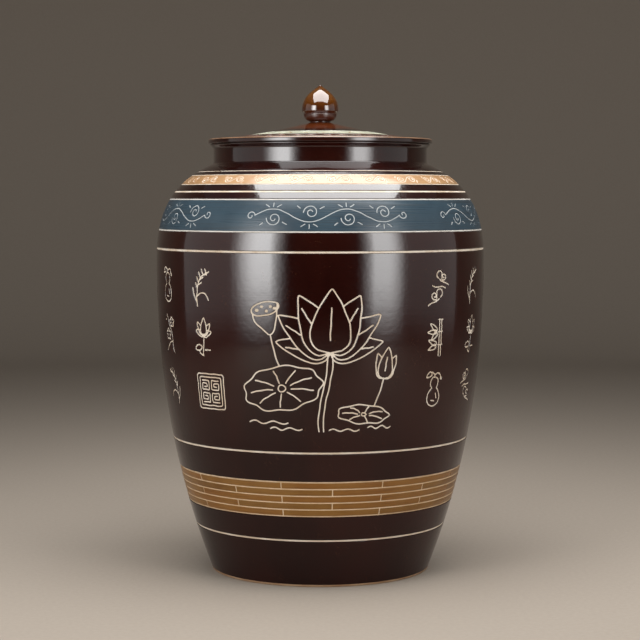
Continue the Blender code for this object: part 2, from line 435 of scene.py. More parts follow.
def seen(line, fronts, closed=True):
    # the stretches of a line that the closed shapes in front of it leave to be seen
    points = evenly(np.vstack((line, line[:1])) if closed else line, strokeStep)
    points = points[:-1] if closed else points
    hidden = np.zeros(len(points), bool)
    for front in fronts:
        hidden |= insideOf(points, front)
    if not hidden.any():
        return [loop(points)] if closed else [stroke(points)]
    order = np.arange(len(points))
    if closed:
        order = np.roll(order, -int(np.argmax(hidden)))
    found, run = [], []
    for k in [*order, None]:
        if k is not None and not hidden[k]:
            run.append(k)
            continue
        if len(run) > 3:
            found.append(stroke(points[run]))
        run = []
    return found


def movedBy(drawing, x=0.0, y=0.0, scale=1.0, mirror=False):
    flip = np.array([-1.0 if mirror else 1.0, 1.0])
    return [(line * flip * scale + (x, y), closed) for line, closed in drawing]


def byHand(drawing, seed, reach=0.22, waveLength=12.0):
    # the slight waver of a line that is cut by hand
    chance = random.Random(seed)
    found = []
    for line, closed in drawing:
        line = evenly(line, strokeStep)
        along = runningLength(line)
        turns = max(1, round(along[-1] / waveLength))
        shift = np.zeros_like(line)
        for axis in (0, 1):
            for k in (turns, turns + 1):
                phase = chance.uniform(0, 2 * math.pi)
                shift[:, axis] += reach / 2 * np.sin(2 * math.pi * k * along / along[-1] + phase)
        found.append((line + shift, closed))
    return found


# Node helpers. A value is a socket to link, or a constant.
def put(tree, kind, inputs=None, **settings):
    made = tree.nodes.new("ShaderNode" + kind)
    for key, value in settings.items():
        setattr(made, key, value)
    for key, value in (inputs or {}).items():
        feed(tree, made.inputs[key], value)
    return made.outputs[0]


def feed(tree, socket, value):
    if isinstance(value, bpy.types.NodeSocket):
        tree.links.new(value, socket)
    else:
        socket.default_value = value


def sums(tree, operation, first, second=0.0, third=0.0):
    return put(tree, "Math", {0: first, 1: second, 2: third}, operation=operation)


def between(tree, value, fromLow, fromHigh, toLow=0.0, toHigh=1.0, soft=True):
    return put(
        tree, "MapRange", {0: value, 1: fromLow, 2: fromHigh, 3: toLow, 4: toHigh},
        interpolation_type="SMOOTHSTEP" if soft else "LINEAR",
    )


def tint(tree, mask, first, second):
    inputs = {"Fac": mask}
    for label, colour in (("Color1", first), ("Color2", second)):
        inputs[label] = colour if isinstance(colour, bpy.types.NodeSocket) else (*colour, 1)
    return put(tree, "MixRGB", inputs)


def toneRamp(tree, tones, value):
    ramp = tree.nodes.new("ShaderNodeValToRGB")
    stops = ramp.color_ramp.elements
    for k, (spot, colour) in enumerate(tones):
        stop = stops[k] if k < 2 else stops.new(spot)
        stop.position = spot
        stop.color = (*colour, 1)
    tree.links.new(value, ramp.inputs[0])
    return ramp.outputs[0]


def stretched(tree, place, scale):
    return put(tree, "VectorMath", {0: place, 1: scale}, operation="MULTIPLY")


def noise(tree, place, scale, detail=3.0, roughness=0.55):
    return put(tree, "TexNoise", {"Vector": place, "Scale": scale, "Detail": detail, "Roughness": roughness})


def newGroup(name, inputs, output):
    # every group takes a place and some plain numbers
    made = bpy.data.node_groups.new(name, "ShaderNodeTree")
    made.interface.new_socket("Place", in_out="INPUT", socket_type="NodeSocketVector")
    for label, value in inputs.items():
        socket = made.interface.new_socket(label, in_out="INPUT", socket_type="NodeSocketFloat")
        socket.default_value = value
    made.interface.new_socket(output, in_out="OUTPUT", socket_type="NodeSocketFloat")
    given = made.nodes.new("NodeGroupInput").outputs
    result = made.nodes.new("NodeGroupOutput").inputs[0]
    return made, given, result


def useGroup(tree, made, place, inputs):
    holder = tree.nodes.new("ShaderNodeGroup")
    holder.node_tree = made
    tree.links.new(place, holder.inputs["Place"])
    for key, value in inputs.items():
        feed(tree, holder.inputs[key], value)
    return holder.outputs[0]


# Slow drift of a glaze or slip, drawn out downwards as it ran in the kiln
def makeDrift():
    made, given, result = newGroup("slowDrift", {"Size": 9.0, "Run": 0.35}, "Mask")
    down = sums(made, "MULTIPLY", given["Size"], given["Run"])
    scale = put(made, "CombineXYZ", {0: given["Size"], 1: given["Size"], 2: down})
    cloud = noise(made, stretched(made, given["Place"], scale), 1.0, detail=4.0)
    made.links.new(between(made, cloud, 0.34, 0.66), result)
    return made


# Thin level lines that the turning wheel leaves
def makeWheelLines():
    made, given, result = newGroup("wheelLines", {"Lines Per Metre": 700.0, "Wander": 6.0}, "Mask")
    scale = put(made, "CombineXYZ", {0: given["Wander"], 1: given["Wander"], 2: given["Lines Per Metre"]})
    lines = noise(made, stretched(made, given["Place"], scale), 1.0, detail=3.0, roughness=0.6)
    made.links.new(between(made, lines, 0.3, 0.7, soft=False), result)
    return made


# Iron specks and pinholes scattered in the fired surface
def makeSpecks():
    made, given, result = newGroup("ironSpecks", {"Specks Per Metre": 420.0, "Size": 0.16}, "Mask")
    cells = put(made, "TexVoronoi", {"Vector": given["Place"], "Scale": given["Specks Per Metre"]})
    patches = between(made, noise(made, given["Place"], 60.0), 0.45, 0.7)
    dot = sums(made, "LESS_THAN", cells, sums(made, "MULTIPLY", given["Size"], patches))
    made.links.new(dot, result)
    return made


# Height of a glaze that levelled in the kiln: a faint orange peel over the wheel's ridges
def makeKilnSkin():
    made, given, result = newGroup("kilnSkin", {"Peel Per Metre": 230.0, "Wheel": 0.35}, "Height")
    peel = noise(made, given["Place"], given["Peel Per Metre"], detail=2.0, roughness=0.45)
    wide = noise(made, given["Place"], 38.0, detail=2.0)
    ridges = useGroup(made, wheelLines, given["Place"], {"Lines Per Metre": 260.0, "Wander": 3.0})
    height = sums(made, "ADD", peel, sums(made, "MULTIPLY", wide, 2.2))
    made.links.new(sums(made, "MULTIPLY_ADD", ridges, given["Wheel"], height), result)
    return made


slowDrift, wheelLines, ironSpecks = makeDrift(), makeWheelLines(), makeSpecks()
kilnSkin = makeKilnSkin()


def startMaterial(name, look):
    # look holds the constants of the shader's own sockets
    made = bpy.data.materials.new(name)
    made.use_nodes = True
    tree = made.node_tree
    shader = tree.nodes["Principled BSDF"]
    for label, value in look.items():
        shader.inputs[label].default_value = value
    place = tree.nodes.new("ShaderNodeTexCoord").outputs["Object"]
    return made, tree, shader, place


def endMaterial(made, shader, colour, rough, relief, plain):
    # relief is a height with the strength and distance of its bump, plain is the colour without nodes
    tree = made.node_tree
    tree.links.new(colour, shader.inputs["Base Color"])
    tree.links.new(rough, shader.inputs["Roughness"])
    height, strength, distance = relief
    bump = put(tree, "Bump", {"Height": height, "Strength": strength, "Distance": distance})
    tree.links.new(bump, shader.inputs["Normal"])
    made.diffuse_color = (*plain, 1)
    return made


# Brown glaze of the jar and its lid
brownLook = {
    "shader": {"IOR": 1.52, "Coat Roughness": 0.03, "Coat IOR": 1.6}, "coatHeights": (0.14, 0.34),
    "thick": (0.0105, 0.0012, 0.0008), "thin": (0.0200, 0.0027, 0.0015), "speck": (0.060, 0.022, 0.008),
    "rough": (0.105, 0.150), "streak": 0.045, "relief": (0.055, 0.002),
}


def makeBrown(name, shine, centre=None):
    # centre gives the radii between which the glaze turns to another colour towards the axis, and the colour
    made, tree, shader, place = startMaterial(name, {**brownLook["shader"], "Specular IOR Level": shine})
    # the glossy coat is thickest on the shoulder and lid and thins out towards the heel
    height = put(tree, "SeparateXYZ", {0: place}).node.outputs["Z"]
    coat = between(tree, height, *brownLook["coatHeights"], soft=False)
    tree.links.new(coat, shader.inputs["Coat Weight"])
    drift = useGroup(tree, slowDrift, place, {"Size": 11.0, "Run": 0.3})
    colour = tint(tree, drift, brownLook["thick"], brownLook["thin"])
    if centre:
        flat = stretched(tree, place, (1.0, 1.0, 0.0))
        radius = put(tree, "VectorMath", {0: flat}, operation="LENGTH").node.outputs["Value"]
        colour = tint(tree, between(tree, radius, *centre["reach"]), centre["colour"], colour)
    specks = useGroup(tree, ironSpecks, place, {"Specks Per Metre": 520.0, "Size": 0.20})
    colour = tint(tree, specks, colour, brownLook["speck"])
    streaks = useGroup(tree, wheelLines, place, {"Lines Per Metre": 620.0, "Wander": 7.0})
    rough = between(tree, drift, 0.0, 1.0, *brownLook["rough"])
    rough = sums(tree, "MULTIPLY_ADD", streaks, brownLook["streak"], rough)
    skin = useGroup(tree, kilnSkin, place, {"Peel Per Metre": 260.0, "Wheel": 0.30})
    return endMaterial(made, shader, colour, rough, (skin, *brownLook["relief"]), brownLook["thin"])


# Matt clays: on the floor of carved lines, round the blue band, between the bamboo slips and under the foot
clayRelief = (0.25, 0.0004)
mattShader = {"IOR": 1.45, "Specular IOR Level": 0.4}
rawShader = {"IOR": 1.45, "Specular IOR Level": 0.3}
clayLooks = {
    "cream": {
        "shader": mattShader, "clean": (0.76, 0.68, 0.57), "stained": (0.62, 0.50, 0.37),
        "speck": (0.20, 0.11, 0.06), "rough": (0.5, 0.72),
    },
    "mark": {
        "shader": mattShader, "clean": (0.50, 0.52, 0.52), "stained": (0.42, 0.44, 0.44),
        "speck": (0.16, 0.15, 0.14), "rough": (0.5, 0.7),
    },
    "border": {
        "shader": mattShader, "clean": (0.68, 0.65, 0.60), "stained": (0.58, 0.54, 0.48),
        "speck": (0.20, 0.13, 0.09), "rough": (0.5, 0.7),
    },
    "joint": {
        "shader": rawShader, "clean": (0.66, 0.50, 0.34), "stained": (0.54, 0.38, 0.23),
        "speck": (0.20, 0.11, 0.06), "rough": (0.55, 0.75),
    },
    "foot": {
        "shader": rawShader, "clean": (0.42, 0.28, 0.17), "stained": (0.30, 0.17, 0.09),
        "speck": (0.10, 0.05, 0.03), "rough": (0.75, 0.9),
    },
}


def makeClay(name, look, size=60.0, specks=0.10):
    made, tree, shader, place = startMaterial(name, look["shader"])
    stain = useGroup(tree, slowDrift, place, {"Size": size, "Run": 1.0})
    grain = noise(tree, place, 1400.0, detail=2.0)
    colour = tint(tree, stain, look["clean"], look["stained"])
    colour = tint(tree, between(tree, grain, 0.35, 0.8, 0.0, 0.35), colour, look["stained"])
    dots = useGroup(tree, ironSpecks, place, {"Specks Per Metre": 700.0, "Size": specks})
    colour = tint(tree, dots, colour, look["speck"])
    rough = between(tree, grain, 0.3, 0.7, *look["rough"])
    return endMaterial(made, shader, colour, rough, (grain, *clayRelief), look["clean"])


# Coloured slips of the bands and of the lid's rings
slipLooks = {
    "blueSlip": {
        "shader": {"IOR": 1.5, "Specular IOR Level": 0.45, "Coat Weight": 0.12, "Coat Roughness": 0.20},
        "first": (0.022, 0.041, 0.058), "second": (0.036, 0.062, 0.082), "line": (0.028, 0.038, 0.045),
        "speck": (0.09, 0.12, 0.14), "rough": (0.26, 0.38), "lines": 900.0, "relief": (0.22, 0.0004),
    },
    "tanSlip": {
        "shader": {"IOR": 1.5, "Specular IOR Level": 1.0, "Coat Weight": 0.8, "Coat Roughness": 0.15},
        "first": (0.42, 0.222, 0.092), "second": (0.48, 0.275, 0.125), "line": (0.34, 0.17, 0.062),
        "speck": (0.22, 0.09, 0.03), "rough": (0.32, 0.42), "lines": 1100.0, "relief": (0.18, 0.0004),
    },
    "paleSlip": {
        "shader": {"IOR": 1.5, "Specular IOR Level": 0.5, "Coat Weight": 0.4, "Coat Roughness": 0.06},
        "first": (0.50, 0.52, 0.40), "second": (0.60, 0.60, 0.46), "line": (0.42, 0.40, 0.28),
        "speck": (0.20, 0.13, 0.06), "rough": (0.22, 0.34), "lines": 800.0, "relief": (0.15, 0.0004),
    },
}


def makeSlip(name):
    look = slipLooks[name]
    made, tree, shader, place = startMaterial(name, look["shader"])
    drift = useGroup(tree, slowDrift, place, {"Size": 26.0, "Run": 0.6})
    lines = useGroup(tree, wheelLines, place, {"Lines Per Metre": look["lines"], "Wander": 9.0})
    colour = tint(tree, drift, look["first"], look["second"])
    colour = tint(tree, between(tree, lines, 0.45, 0.95, 0.0, 0.7), colour, look["line"])
    dots = useGroup(tree, ironSpecks, place, {"Specks Per Metre": 600.0, "Size": 0.12})
    colour = tint(tree, dots, colour, look["speck"])
    rough = between(tree, lines, 0.0, 1.0, *look["rough"])
    return endMaterial(made, shader, colour, rough, (lines, *look["relief"]), look["first"])


lidCentre = {"reach": (0.034, 0.050), "colour": (0.105, 0.024, 0.006)}
brownGlaze, shoulderGlaze = makeBrown("brownGlaze", 0.30), makeBrown("shoulderGlaze", 0.75)
lidGlaze = makeBrown("lidGlaze", 0.30, lidCentre)
creamClay = makeClay("creamClay", clayLooks["cream"])
rawClay = makeClay("rawClay", clayLooks["foot"], size=40.0, specks=0.22)
markClay, borderClay = makeClay("markClay", clayLooks["mark"]), makeClay("borderClay", clayLooks["border"])
jointClay = makeClay("jointClay", clayLooks["joint"])
blueSlip, tanSlip, paleSlip = makeSlip("blueSlip"), makeSlip("tanSlip"), makeSlip("paleSlip")
print("glazes, clays and slips mixed")


# The jar's outline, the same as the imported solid's
jar = {
    "columns": 256, "rowStep": 0.0045, "insideStep": 0.012,
    "footRadius": 0.110, "footRound": 0.0015, "footWidth": 0.012, "footRecess": 0.006,
    "heelLean": math.radians(21.0), "heelPull": 0.102,
    "bellyRadius": 0.165, "bellyHeight": 0.317, "bellyPullDown": 0.126, "bellyPullUp": 0.0678,
    "shoulderSlope": math.radians(26.0), "shoulderPull": 0.017,
    "wall": 0.008, "floor": 0.012, "floorCorner": 0.022, "neckWall": 0.0085,
    "mouthRadius": 0.099, "rimHeight": 0.4284, "neckLength": 0.0179, "neckFillet": 0.0023,
    "throatLength": 0.0124, "lipOverhang": 0.0033, "lipThickness": 0.0012, "lipRound": 0.0006,
    "lipFlare": math.radians(40.0), "rawHeel": 0.0009, "rawSeat": 0.0032, "heelStep": 0.0015,
    "neckLead": 0.004, "neckStep": 0.0006, "cornerClear": 0.002, "mouthClear": 0.006, "mouthPull": 0.004,
}
neckRadius = jar["mouthRadius"] + jar["neckWall"]
lipRadius = neckRadius + jar["lipOverhang"]


def outerSide():
    heel = (jar["footRadius"], jar["footRound"])
    belly = (jar["bellyRadius"], jar["bellyHeight"])
    neckStart = jar["rimHeight"] - jar["neckLength"]
    filletCentre = (neckRadius + jar["neckFillet"], neckStart)
    fillet = turn(filletCentre, jar["neckFillet"], upright * 3 - jar["shoulderSlope"], upright * 2, 12)
    lower = sweep(
        heel, upright - jar["heelLean"], jar["heelPull"], belly, -upright, jar["bellyPullDown"], 240
    )
    shoulder = sweep(
        belly, upright, jar["bellyPullUp"], fillet[0], -jar["shoulderSlope"], jar["shoulderPull"], 160
    )
    throat = (neckRadius, neckStart + jar["throatLength"])
    lipFoot = (lipRadius, jar["rimHeight"] - jar["lipThickness"])
    halfRise = (lipFoot[1] - throat[1]) / 2
    flare = sweep(throat, upright, halfRise, lipFoot, -upright - jar["lipFlare"], halfRise, 16)
    lipCentre = (lipRadius - jar["lipRound"], jar["rimHeight"] - jar["lipRound"])
    return chain(lower, shoulder, fillet, flare, turn(lipCentre, jar["lipRound"], 0, upright, 7))


side = Outline(outerSide())

# Every carved line is a groove with dark glazed walls and a strip of cream clay on its floor.
cut = {
    "half": 0.00086, "thinHalf": 0.00055, "wall": 0.00045, "depth": 0.00060,
    "clayTop": 0.00042, "clayBottom": 0.00070, "clayEdge": 0.0001,
}

# Heights of the carved rings, and of the lower and upper edge of each coloured band
rings = {
    "ringAboveFoot": 0.0478, "ringUnderPicture": 0.1351, "ringOverPicture": 0.3245, "ringOverBlue": 0.3811,
}
thinRings = {"ringUnderNeck": 0.4009}
bands = {"slips": (0.0720, 0.1071), "blue": (0.3427, 0.3741), "tan": (0.3878, 0.3975)}
bandRecess = 0.0009


def ringPlaces():
    for heights, half in ((rings, cut["half"]), (thinRings, cut["thinHalf"])):
        for name, height in heights.items():
            yield name, side.atHeight(height), half


def grooves():
    found = []
    for _, middle, half in ringPlaces():
        found.append((middle - half - cut["wall"], middle + half + cut["wall"], cut["depth"]))
    for low, high in bands.values():
        found.append((side.atHeight(low) - cut["wall"], side.atHeight(high) + cut["wall"], bandRecess))
    return sorted(found)


pictureLow = side.atHeight(rings["ringUnderPicture"]) + cut["half"] + cut["wall"]
pictureHigh = side.atHeight(rings["ringOverPicture"]) - cut["half"] - cut["wall"]


# The large carving: a lotus in bloom over its leaf, with a seed pod, a bud and still water
lotus = {
    "angle": 0.0, "height": 0.230,
    "bloomBase": (9, 1), "frontPetal": (2, 60, 38), "petals": ((28, 61, 33), (54, 60, 30), (79, 52, 25)),
    "leaf": ((-37, -33), 39, 21, 9), "smallLeaf": ((43, -58), 26, 9, -4),
    "pod": (-52, 42), "bud": (62, -24), "stemHalf": 2.5, "stemFoot": (1, -74),
    "half": 0.00064, "wall": 0.00038,
}


def lotusBloom():
    base = lotus["bloomBase"]
    tilt, length, width = lotus["frontPetal"]
    fronts = [leafLine(base, tilt, length, width)]
    found = [loop(fronts[0]), ray(base, tilt, 12, 42)]
    for tilt, length, width in lotus["petals"]:
        row = [leafLine(base, way * tilt, length, width) for way in (-1, 1)]
        for way, outline in zip((-1, 1), row):
            found += seen(outline, fronts)
            vein = ray(base, way * (tilt + 4), length * 0.45, length * 0.80)[0]
            found += seen(vein, fronts, closed=False)
        fronts += row
    return found, fronts


def lotusLeaf(centre, across, up, tilt, fronts, veins=9):
    edge = ovalLine(centre, across, up, tilt, count=120, waves=veins, ripple=0.045)
    found = seen(edge, fronts)
    heart = ovalLine(centre, across * 0.10, up * 0.16, tilt, count=16)
    found.append(loop(heart))
    for k in range(veins):
        a = 2 * math.pi * (k + 0.5) / veins
        rim = edge[int(round(a / (2 * math.pi) * len(edge))) % len(edge)]
        start = np.array(centre) + (rim - centre) * 0.26
        middle = np.array(centre) + (rim - centre) * 0.6 + (0, 1.2)
        vein = bend(start, middle, middle, np.array(centre) + (rim - centre) * 0.86, 12)
        found += seen(vein, fronts, closed=False)
    return found, edge


def seedPod(fronts):
    x, y = lotus["pod"]
    top = ovalLine((x, y), 14, 6.2, 14, count=40)
    left, right = top[22], top[2]
    foot = (x + 4.5, y - 24)
    cup = [
        bend(left, (left[0] + 1, left[1] - 11), (foot[0] - 5, foot[1] + 5), (foot[0] - 1.6, foot[1]), 20),
        bend(right, (right[0] - 1, right[1] - 13), (foot[0] + 6, foot[1] + 5), (foot[0] + 1.6, foot[1]), 20),
    ]
    found = [loop(top)] + [stroke(line) for line in cup]
    for dx, dy in ((-8, -1.6), (-3.2, 1.8), (1.5, -2.2), (5.8, 2.2), (9.4, 0.6)):
        found.append(loop(ovalLine((x + dx, y + dy), 1.35, 1.0, count=10)))
    stem = bend(foot, (foot[0] + 5, foot[1] - 14), (foot[0] + 4, foot[1] - 30), (foot[0] + 16, -20), 30)
    return found + seen(stem, fronts, closed=False)


def bud(fronts):
    x, y = lotus["bud"]
    front = leafLine((x, y), 8, 30, 15)
    found = [loop(front), ray((x, y), 8, 7, 20)]
    for tilt in (-16, 30):
        found += seen(leafLine((x, y), tilt, 25, 12), [front])
    stem = bend((x, y), (x - 3, y - 12), (x - 6, y - 20), (x - 9, y - 27), 20)
    return found + seen(stem, fronts, closed=False)


def largeCarving():
    found, fronts = lotusBloom()
    base, foot = lotus["bloomBase"], lotus["stemFoot"]
    leaf, leafEdge = lotusLeaf(*lotus["leaf"], fronts)
    small, smallEdge = lotusLeaf(*lotus["smallLeaf"], fronts, veins=7)
    found += leaf + small + seedPod([leafEdge]) + bud([smallEdge])
    for way in (-1, 1):
        step = way * lotus["stemHalf"]
        line = bend(
            (base[0] + step, base[1] - 1), (base[0] + step + 3, base[1] - 24), (foot[0] + step - 3, -48),
            (foot[0] + step, foot[1]), 50,
        )
        found += seen(line, [leafEdge, smallEdge], closed=False)
    for x, y, span in ((-52, -66, 20), (-34, -72, 16), (24, -73, 15), (60, -71, 12)):
        t = np.linspace(-1, 1, 24)
        found.append(stroke(np.column_stack((x + t * span, y + 1.3 * np.sin(t * 2 * math.pi)))))
    return found


# Small carvings in columns on both sides of the large one. Each fills about 24 by 38 mm.
def riceEar():
    stem = bend((-6, -19), (-8, -4), (-4, 14), (8, 12), 40)
    found = [stroke(stem)]
    for k, spot in enumerate(stem[15::3]):
        found.append(ray(spot, 62 if k % 2 else -22, 1.4, 6.0))
    found.append(stroke(bend((-6.8, -10), (0, -3), (7, -5), (10, -13), 16)))
    found.append(stroke(bend((-6.4, -15), (-10, -10), (-12, -6), (-12, -1), 12)))
    return found


def bamboo():
    found = []
    for low, high in ((-19, -9), (-7, 4), (6, 16)):
        found.append(stroke((-5.5, low), (-5, high)))
        found.append(stroke((-2.5, low), (-2, high)))
        found.append(stroke((-6.6, high + 1), (-0.9, high + 1)))
    for y, tilt, length in ((5, 52, 12), (5, 92, 12.5), (5, 134, 11), (-8, 68, 12), (-8, 112, 12)):
        base = ahead((0, y), upright - math.radians(tilt), 1.5)
        found.append(loop(leafLine(base, tilt, length, 4.4)))
    return found


def plumBranch():
    stem = bend((-9, -19), (-3, -12), (-10, -2), (-2, 5), 24)
    found = [stroke(stem, bend((-2, 5), (2, 9), (1, 14), (6, 19), 16))]
    found.append(stroke(bend((-6, -8), (0, -8), (4, -11), (8, -16), 14)))
    for centre, size in (((3.5, -1), 3.1), ((-6, 11.5), 2.7)):
        for k in range(5):
            spot = ahead(centre, upright + k * 2 * math.pi / 5, size * 1.12)
            facing = math.degrees(upright + k * 2 * math.pi / 5)
            found.append(stroke(curl(spot, size * 0.72, size * 0.72, facing - 118, facing + 118, 16)))
        found.append(ray(centre, 0, -0.3, 0.3))
    found += [ray((8, -16), 130, 0.8, 2.6), ray((7, 14), 100, 0.6, 2.6)]
    return found


def clouds():
    found = []
    for x, y, size, mirror in ((-3.5, 10, 1.0, False), (3.5, -8.5, 1.15, True)):
        head = chain(curl((-2.6, 0), 1.2, 3.9, 250, 680, 36), curl((3.6, 1.6), 4.4, 3.0, 150, -70, 24))
        tail = bend((3.2, -2.4), (-1, -6.5), (-7, -5.5), (-9.5, -8), 16)
        found += movedBy([stroke(head), stroke(tail)], x, y, size, mirror)
    found.append(stroke(bend((-9, -1), (-3, 2), (4, -2), (9, 1.5), 16)))
    return found


def gourd():
    neck = bend((0.8, 12), (6.4, 12), (6.8, 3.5), (2.6, 1.2), 16)
    right = chain(neck, bend((2.6, 1.2), (9.5, -1), (12.5, -16.5), (0, -17), 24))
    left = right[::-1] * (-1, 1)
    found = [loop(right, left), stroke(bend((0, 12.4), (0, 16), (3, 17.5), (5, 17), 10))]
    found.append(loop(leafLine((4.5, 16.5), 122, 8.5, 4.6)))
    tendril = bend((-0.5, 14.5), (-5, 18), (-9, 15), (-8, 11), 14)
    found.append(stroke(tendril, curl((-9.2, 10.6), 1.3, 0.9, 10, -250, 12)))
    found += [ray((-3.6, -6.5), 20, -2.5, 2.5), ray((0.6, -11.5), 84, -2.2, 2.2)]
    return found


def smallLotus():
    found = [loop(leafLine((1, 2), 4, 17, 8.5))]
    for tilt, length in ((-34, 15), (40, 15), (-68, 11.5), (74, 11.5)):
        found += seen(leafLine((1, 2), tilt, length, 6.6), [found[0][0]])
    found.append(stroke(bend((1, 1), (2.5, -6), (-1.5, -12), (0, -19), 20)))
    found.append(loop(ovalLine((-6.6, -11), 4.9, 2.7, 12, count=28)))
    found.append(stroke(bend((-6, -13.8), (-5, -16.5), (-3, -18), (-1, -18.6), 10)))
    found.append(ray((6, -13), 90, -3.4, 3.4))
    return found


# The square with a fret in its four quarters
sealSet = {"side": 34.0, "corner": 2.6, "inset": 3.2, "innerCorner": 1.56, "offset": 6.1, "scale": 0.86}
fret = (
    (5.2, 5.2), (-5.2, 5.2), (-5.2, -5.2), (5.2, -5.2), (5.2, 2.0), (-2.0, 2.0), (-2.0, -2.0), (2.0, -2.0),
)


def roundedSquare(half, corner):
    reach = half - corner
    corners = []
    for k, (x, y) in enumerate(((1, 1), (-1, 1), (-1, -1), (1, -1))):
        corners.append(turn((x * reach, y * reach), corner, upright * k, upright * (k + 1), 6))
    return chain(*corners)


def sealSquare():
    half, offset = sealSet["side"] / 2, sealSet["offset"]
    found = [loop(roundedSquare(half, sealSet["corner"]))]
    found.append(loop(roundedSquare(half - sealSet["inset"], sealSet["innerCorner"])))
    for x, mirror in ((offset, False), (-offset, True)):
        upper = movedBy([stroke(fret)], x, offset, sealSet["scale"], mirror)
        found += upper + [(line * (1, -1), closed) for line, closed in upper]
    return found


smallSet = {
    "motifs": (riceEar, plumBranch, gourd, bamboo, clouds, smallLotus),
    "angles": (43.5, 64.5, 85.5, 106.5, 127.5, 148.5, 169.5), "heights": (0.2905, 0.2430, 0.1925),
    "half": 0.00060, "wall": 0.00036, "scale": 0.97, "sealAngle": -41.5, "sealHeight": 0.1906,
}


def smallCarvings():
    found, number = [], 0
    for column, angle in enumerate(a * way for way in (-1, 1) for a in smallSet["angles"]):
        for row, height in enumerate(smallSet["heights"]):
            number += 1
            if abs(angle - smallSet["sealAngle"]) < 5 and row == 2:
                continue
            motif = smallSet["motifs"][(column * 2 + row * 5 + column // 3) % len(smallSet["motifs"])]
            drawing = byHand(movedBy(motif(), scale=smallSet["scale"], mirror=column % 2 == 1), number)
            found.append((math.radians(angle), side.atHeight(height), drawing))
    place = (math.radians(smallSet["sealAngle"]), side.atHeight(smallSet["sealHeight"]))
    return found + [(*place, byHand(sealSquare(), 99))]


lotusDrawing = byHand(largeCarving(), 7, reach=0.3, waveLength=22.0)
lotusStrokes = {
    "half": lotus["half"], "wall": lotus["wall"], "spacing": 1.4,
    "drawings": [(lotus["angle"], side.atHeight(lotus["height"]), lotusDrawing)],
}
smallStrokes = {
    "half": smallSet["half"], "wall": smallSet["wall"], "spacing": 1.15, "drawings": smallCarvings(),
}


# Jar body
def insideSide():
    floorTop = jar["footRecess"] + jar["floor"]
    cornerTop = floorTop + jar["floorCorner"]
    mouth = jar["mouthRadius"]
    spots = side.at(np.arange(0, side.length[-1], jar["insideStep"]), jar["wall"])[:, :2]
    climb = spots[(spots[:, 1] > cornerTop + jar["cornerClear"]) & (spots[:, 0] > mouth + jar["mouthClear"])]
    below = spots[spots[:, 1] < climb[0, 1]]
    cornerEnd = below[-1] if len(below) else climb[0]
    cornerStart = (cornerEnd[0] - jar["floorCorner"], floorTop)
    pull = jar["floorCorner"] / 2
    corner = sweep(cornerStart, 0, pull, cornerEnd, -upright - jar["heelLean"], pull, 8)
    way = math.atan2(*(climb[-1] - climb[-2])[::-1])
    mouthFoot = (mouth, climb[-1, 1] + jar["wall"])
    neck = sweep(climb[-1], way, jar["mouthPull"], mouthFoot, -upright, jar["mouthPull"], 6)
    soft = jar["lipRound"]
    lip = turn((mouth + soft, jar["rimHeight"] - soft), soft, math.pi, upright, 6)
    return chain((0, floorTop), corner, climb, neck, lip)


def bodyRows():
    inner = jar["footRadius"] - jar["footRound"] - jar["footWidth"]
    recess, foot = jar["footRecess"], jar["footRound"]
    under = chain(
        (0, recess), (inner * 0.5, recess), (inner - foot * 2, recess), (inner - foot, foot), (inner, 0),
        turn((jar["footRadius"] - foot, foot), foot, -upright, 0, 5),
    )
    rows = smoothRows(under[:-1], tone=1)
    rows += side.rows(0, jar["rawHeel"], jar["heelStep"], tone=1)[:-1]
    cursor, carved = jar["rawHeel"], None
    shoulderStart = side.atHeight(bands["blue"][0])
    for low, high, depth in grooves():
        if abs(cursor - pictureLow) < 1e-9:
            carved = len(rows)
            rows += side.rows(cursor, low, oneStrip)
        else:
            rows += side.rows(cursor, low, jar["rowStep"], tone=2 if cursor > shoulderStart else 0)
        rows += side.rows(low + cut["wall"], high - cut["wall"], jar["rowStep"], depth)
        cursor = high
    neck = side.atHeight(jar["rimHeight"] - jar["neckLength"] - jar["neckLead"])
    rows += side.rows(cursor, neck, jar["rowStep"])[:-1] + side.rows(neck, side.length[-1], jar["neckStep"])
    seatOut, seatIn = lipRadius - jar["rawSeat"], jar["mouthRadius"] + jar["rawSeat"]
    rows += [(seatOut, jar["rimHeight"], 0.0, 1.0, 1), (seatIn, jar["rimHeight"], 0.0, 1.0, 0)]
    return rows + smoothRows(insideSide()[::-1]), carved


def ownPiece(piece, body, replaced=None):
    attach(piece, body)
    if replaced:
        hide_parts(replaced)
    print(piece.name, len(piece.data.polygons), "faces")


picture = CarvedSheet(
    pictureLow, pictureHigh, jar["columns"], [lotusStrokes, smallStrokes], cut["depth"], side.at
)
rows, pictureRow = bodyRows()
bodyFinishes = (brownGlaze, rawClay, shoulderGlaze)
body = turnedMesh("jarBody", rows, jar["columns"], carved={pictureRow: picture}, finishes=bodyFinishes)
ownPiece(body, "jar", "jar_body")
for owner, name in enumerate(("carvedLotus", "carvedSprigs")):
    ownPiece(picture.clay(name, owner, cut["clayTop"], cut["clayBottom"], creamClay), "jar")


# A band or line of slip in its recess: closed all round, with soft edges, and with strokes cut in its face
bandSet = {
    "top": 0.00022, "bottom": 0.00100, "borderTop": 0.00030, "edge": 0.00025,
    "cutWall": 0.00028, "cutDepth": 0.00045, "clayTop": 0.00034, "clayBottom": 0.00055,
    "spacing": 1.1, "gridStep": 4.0, "faceStep": 0.004, "backStep": 0.005,
}


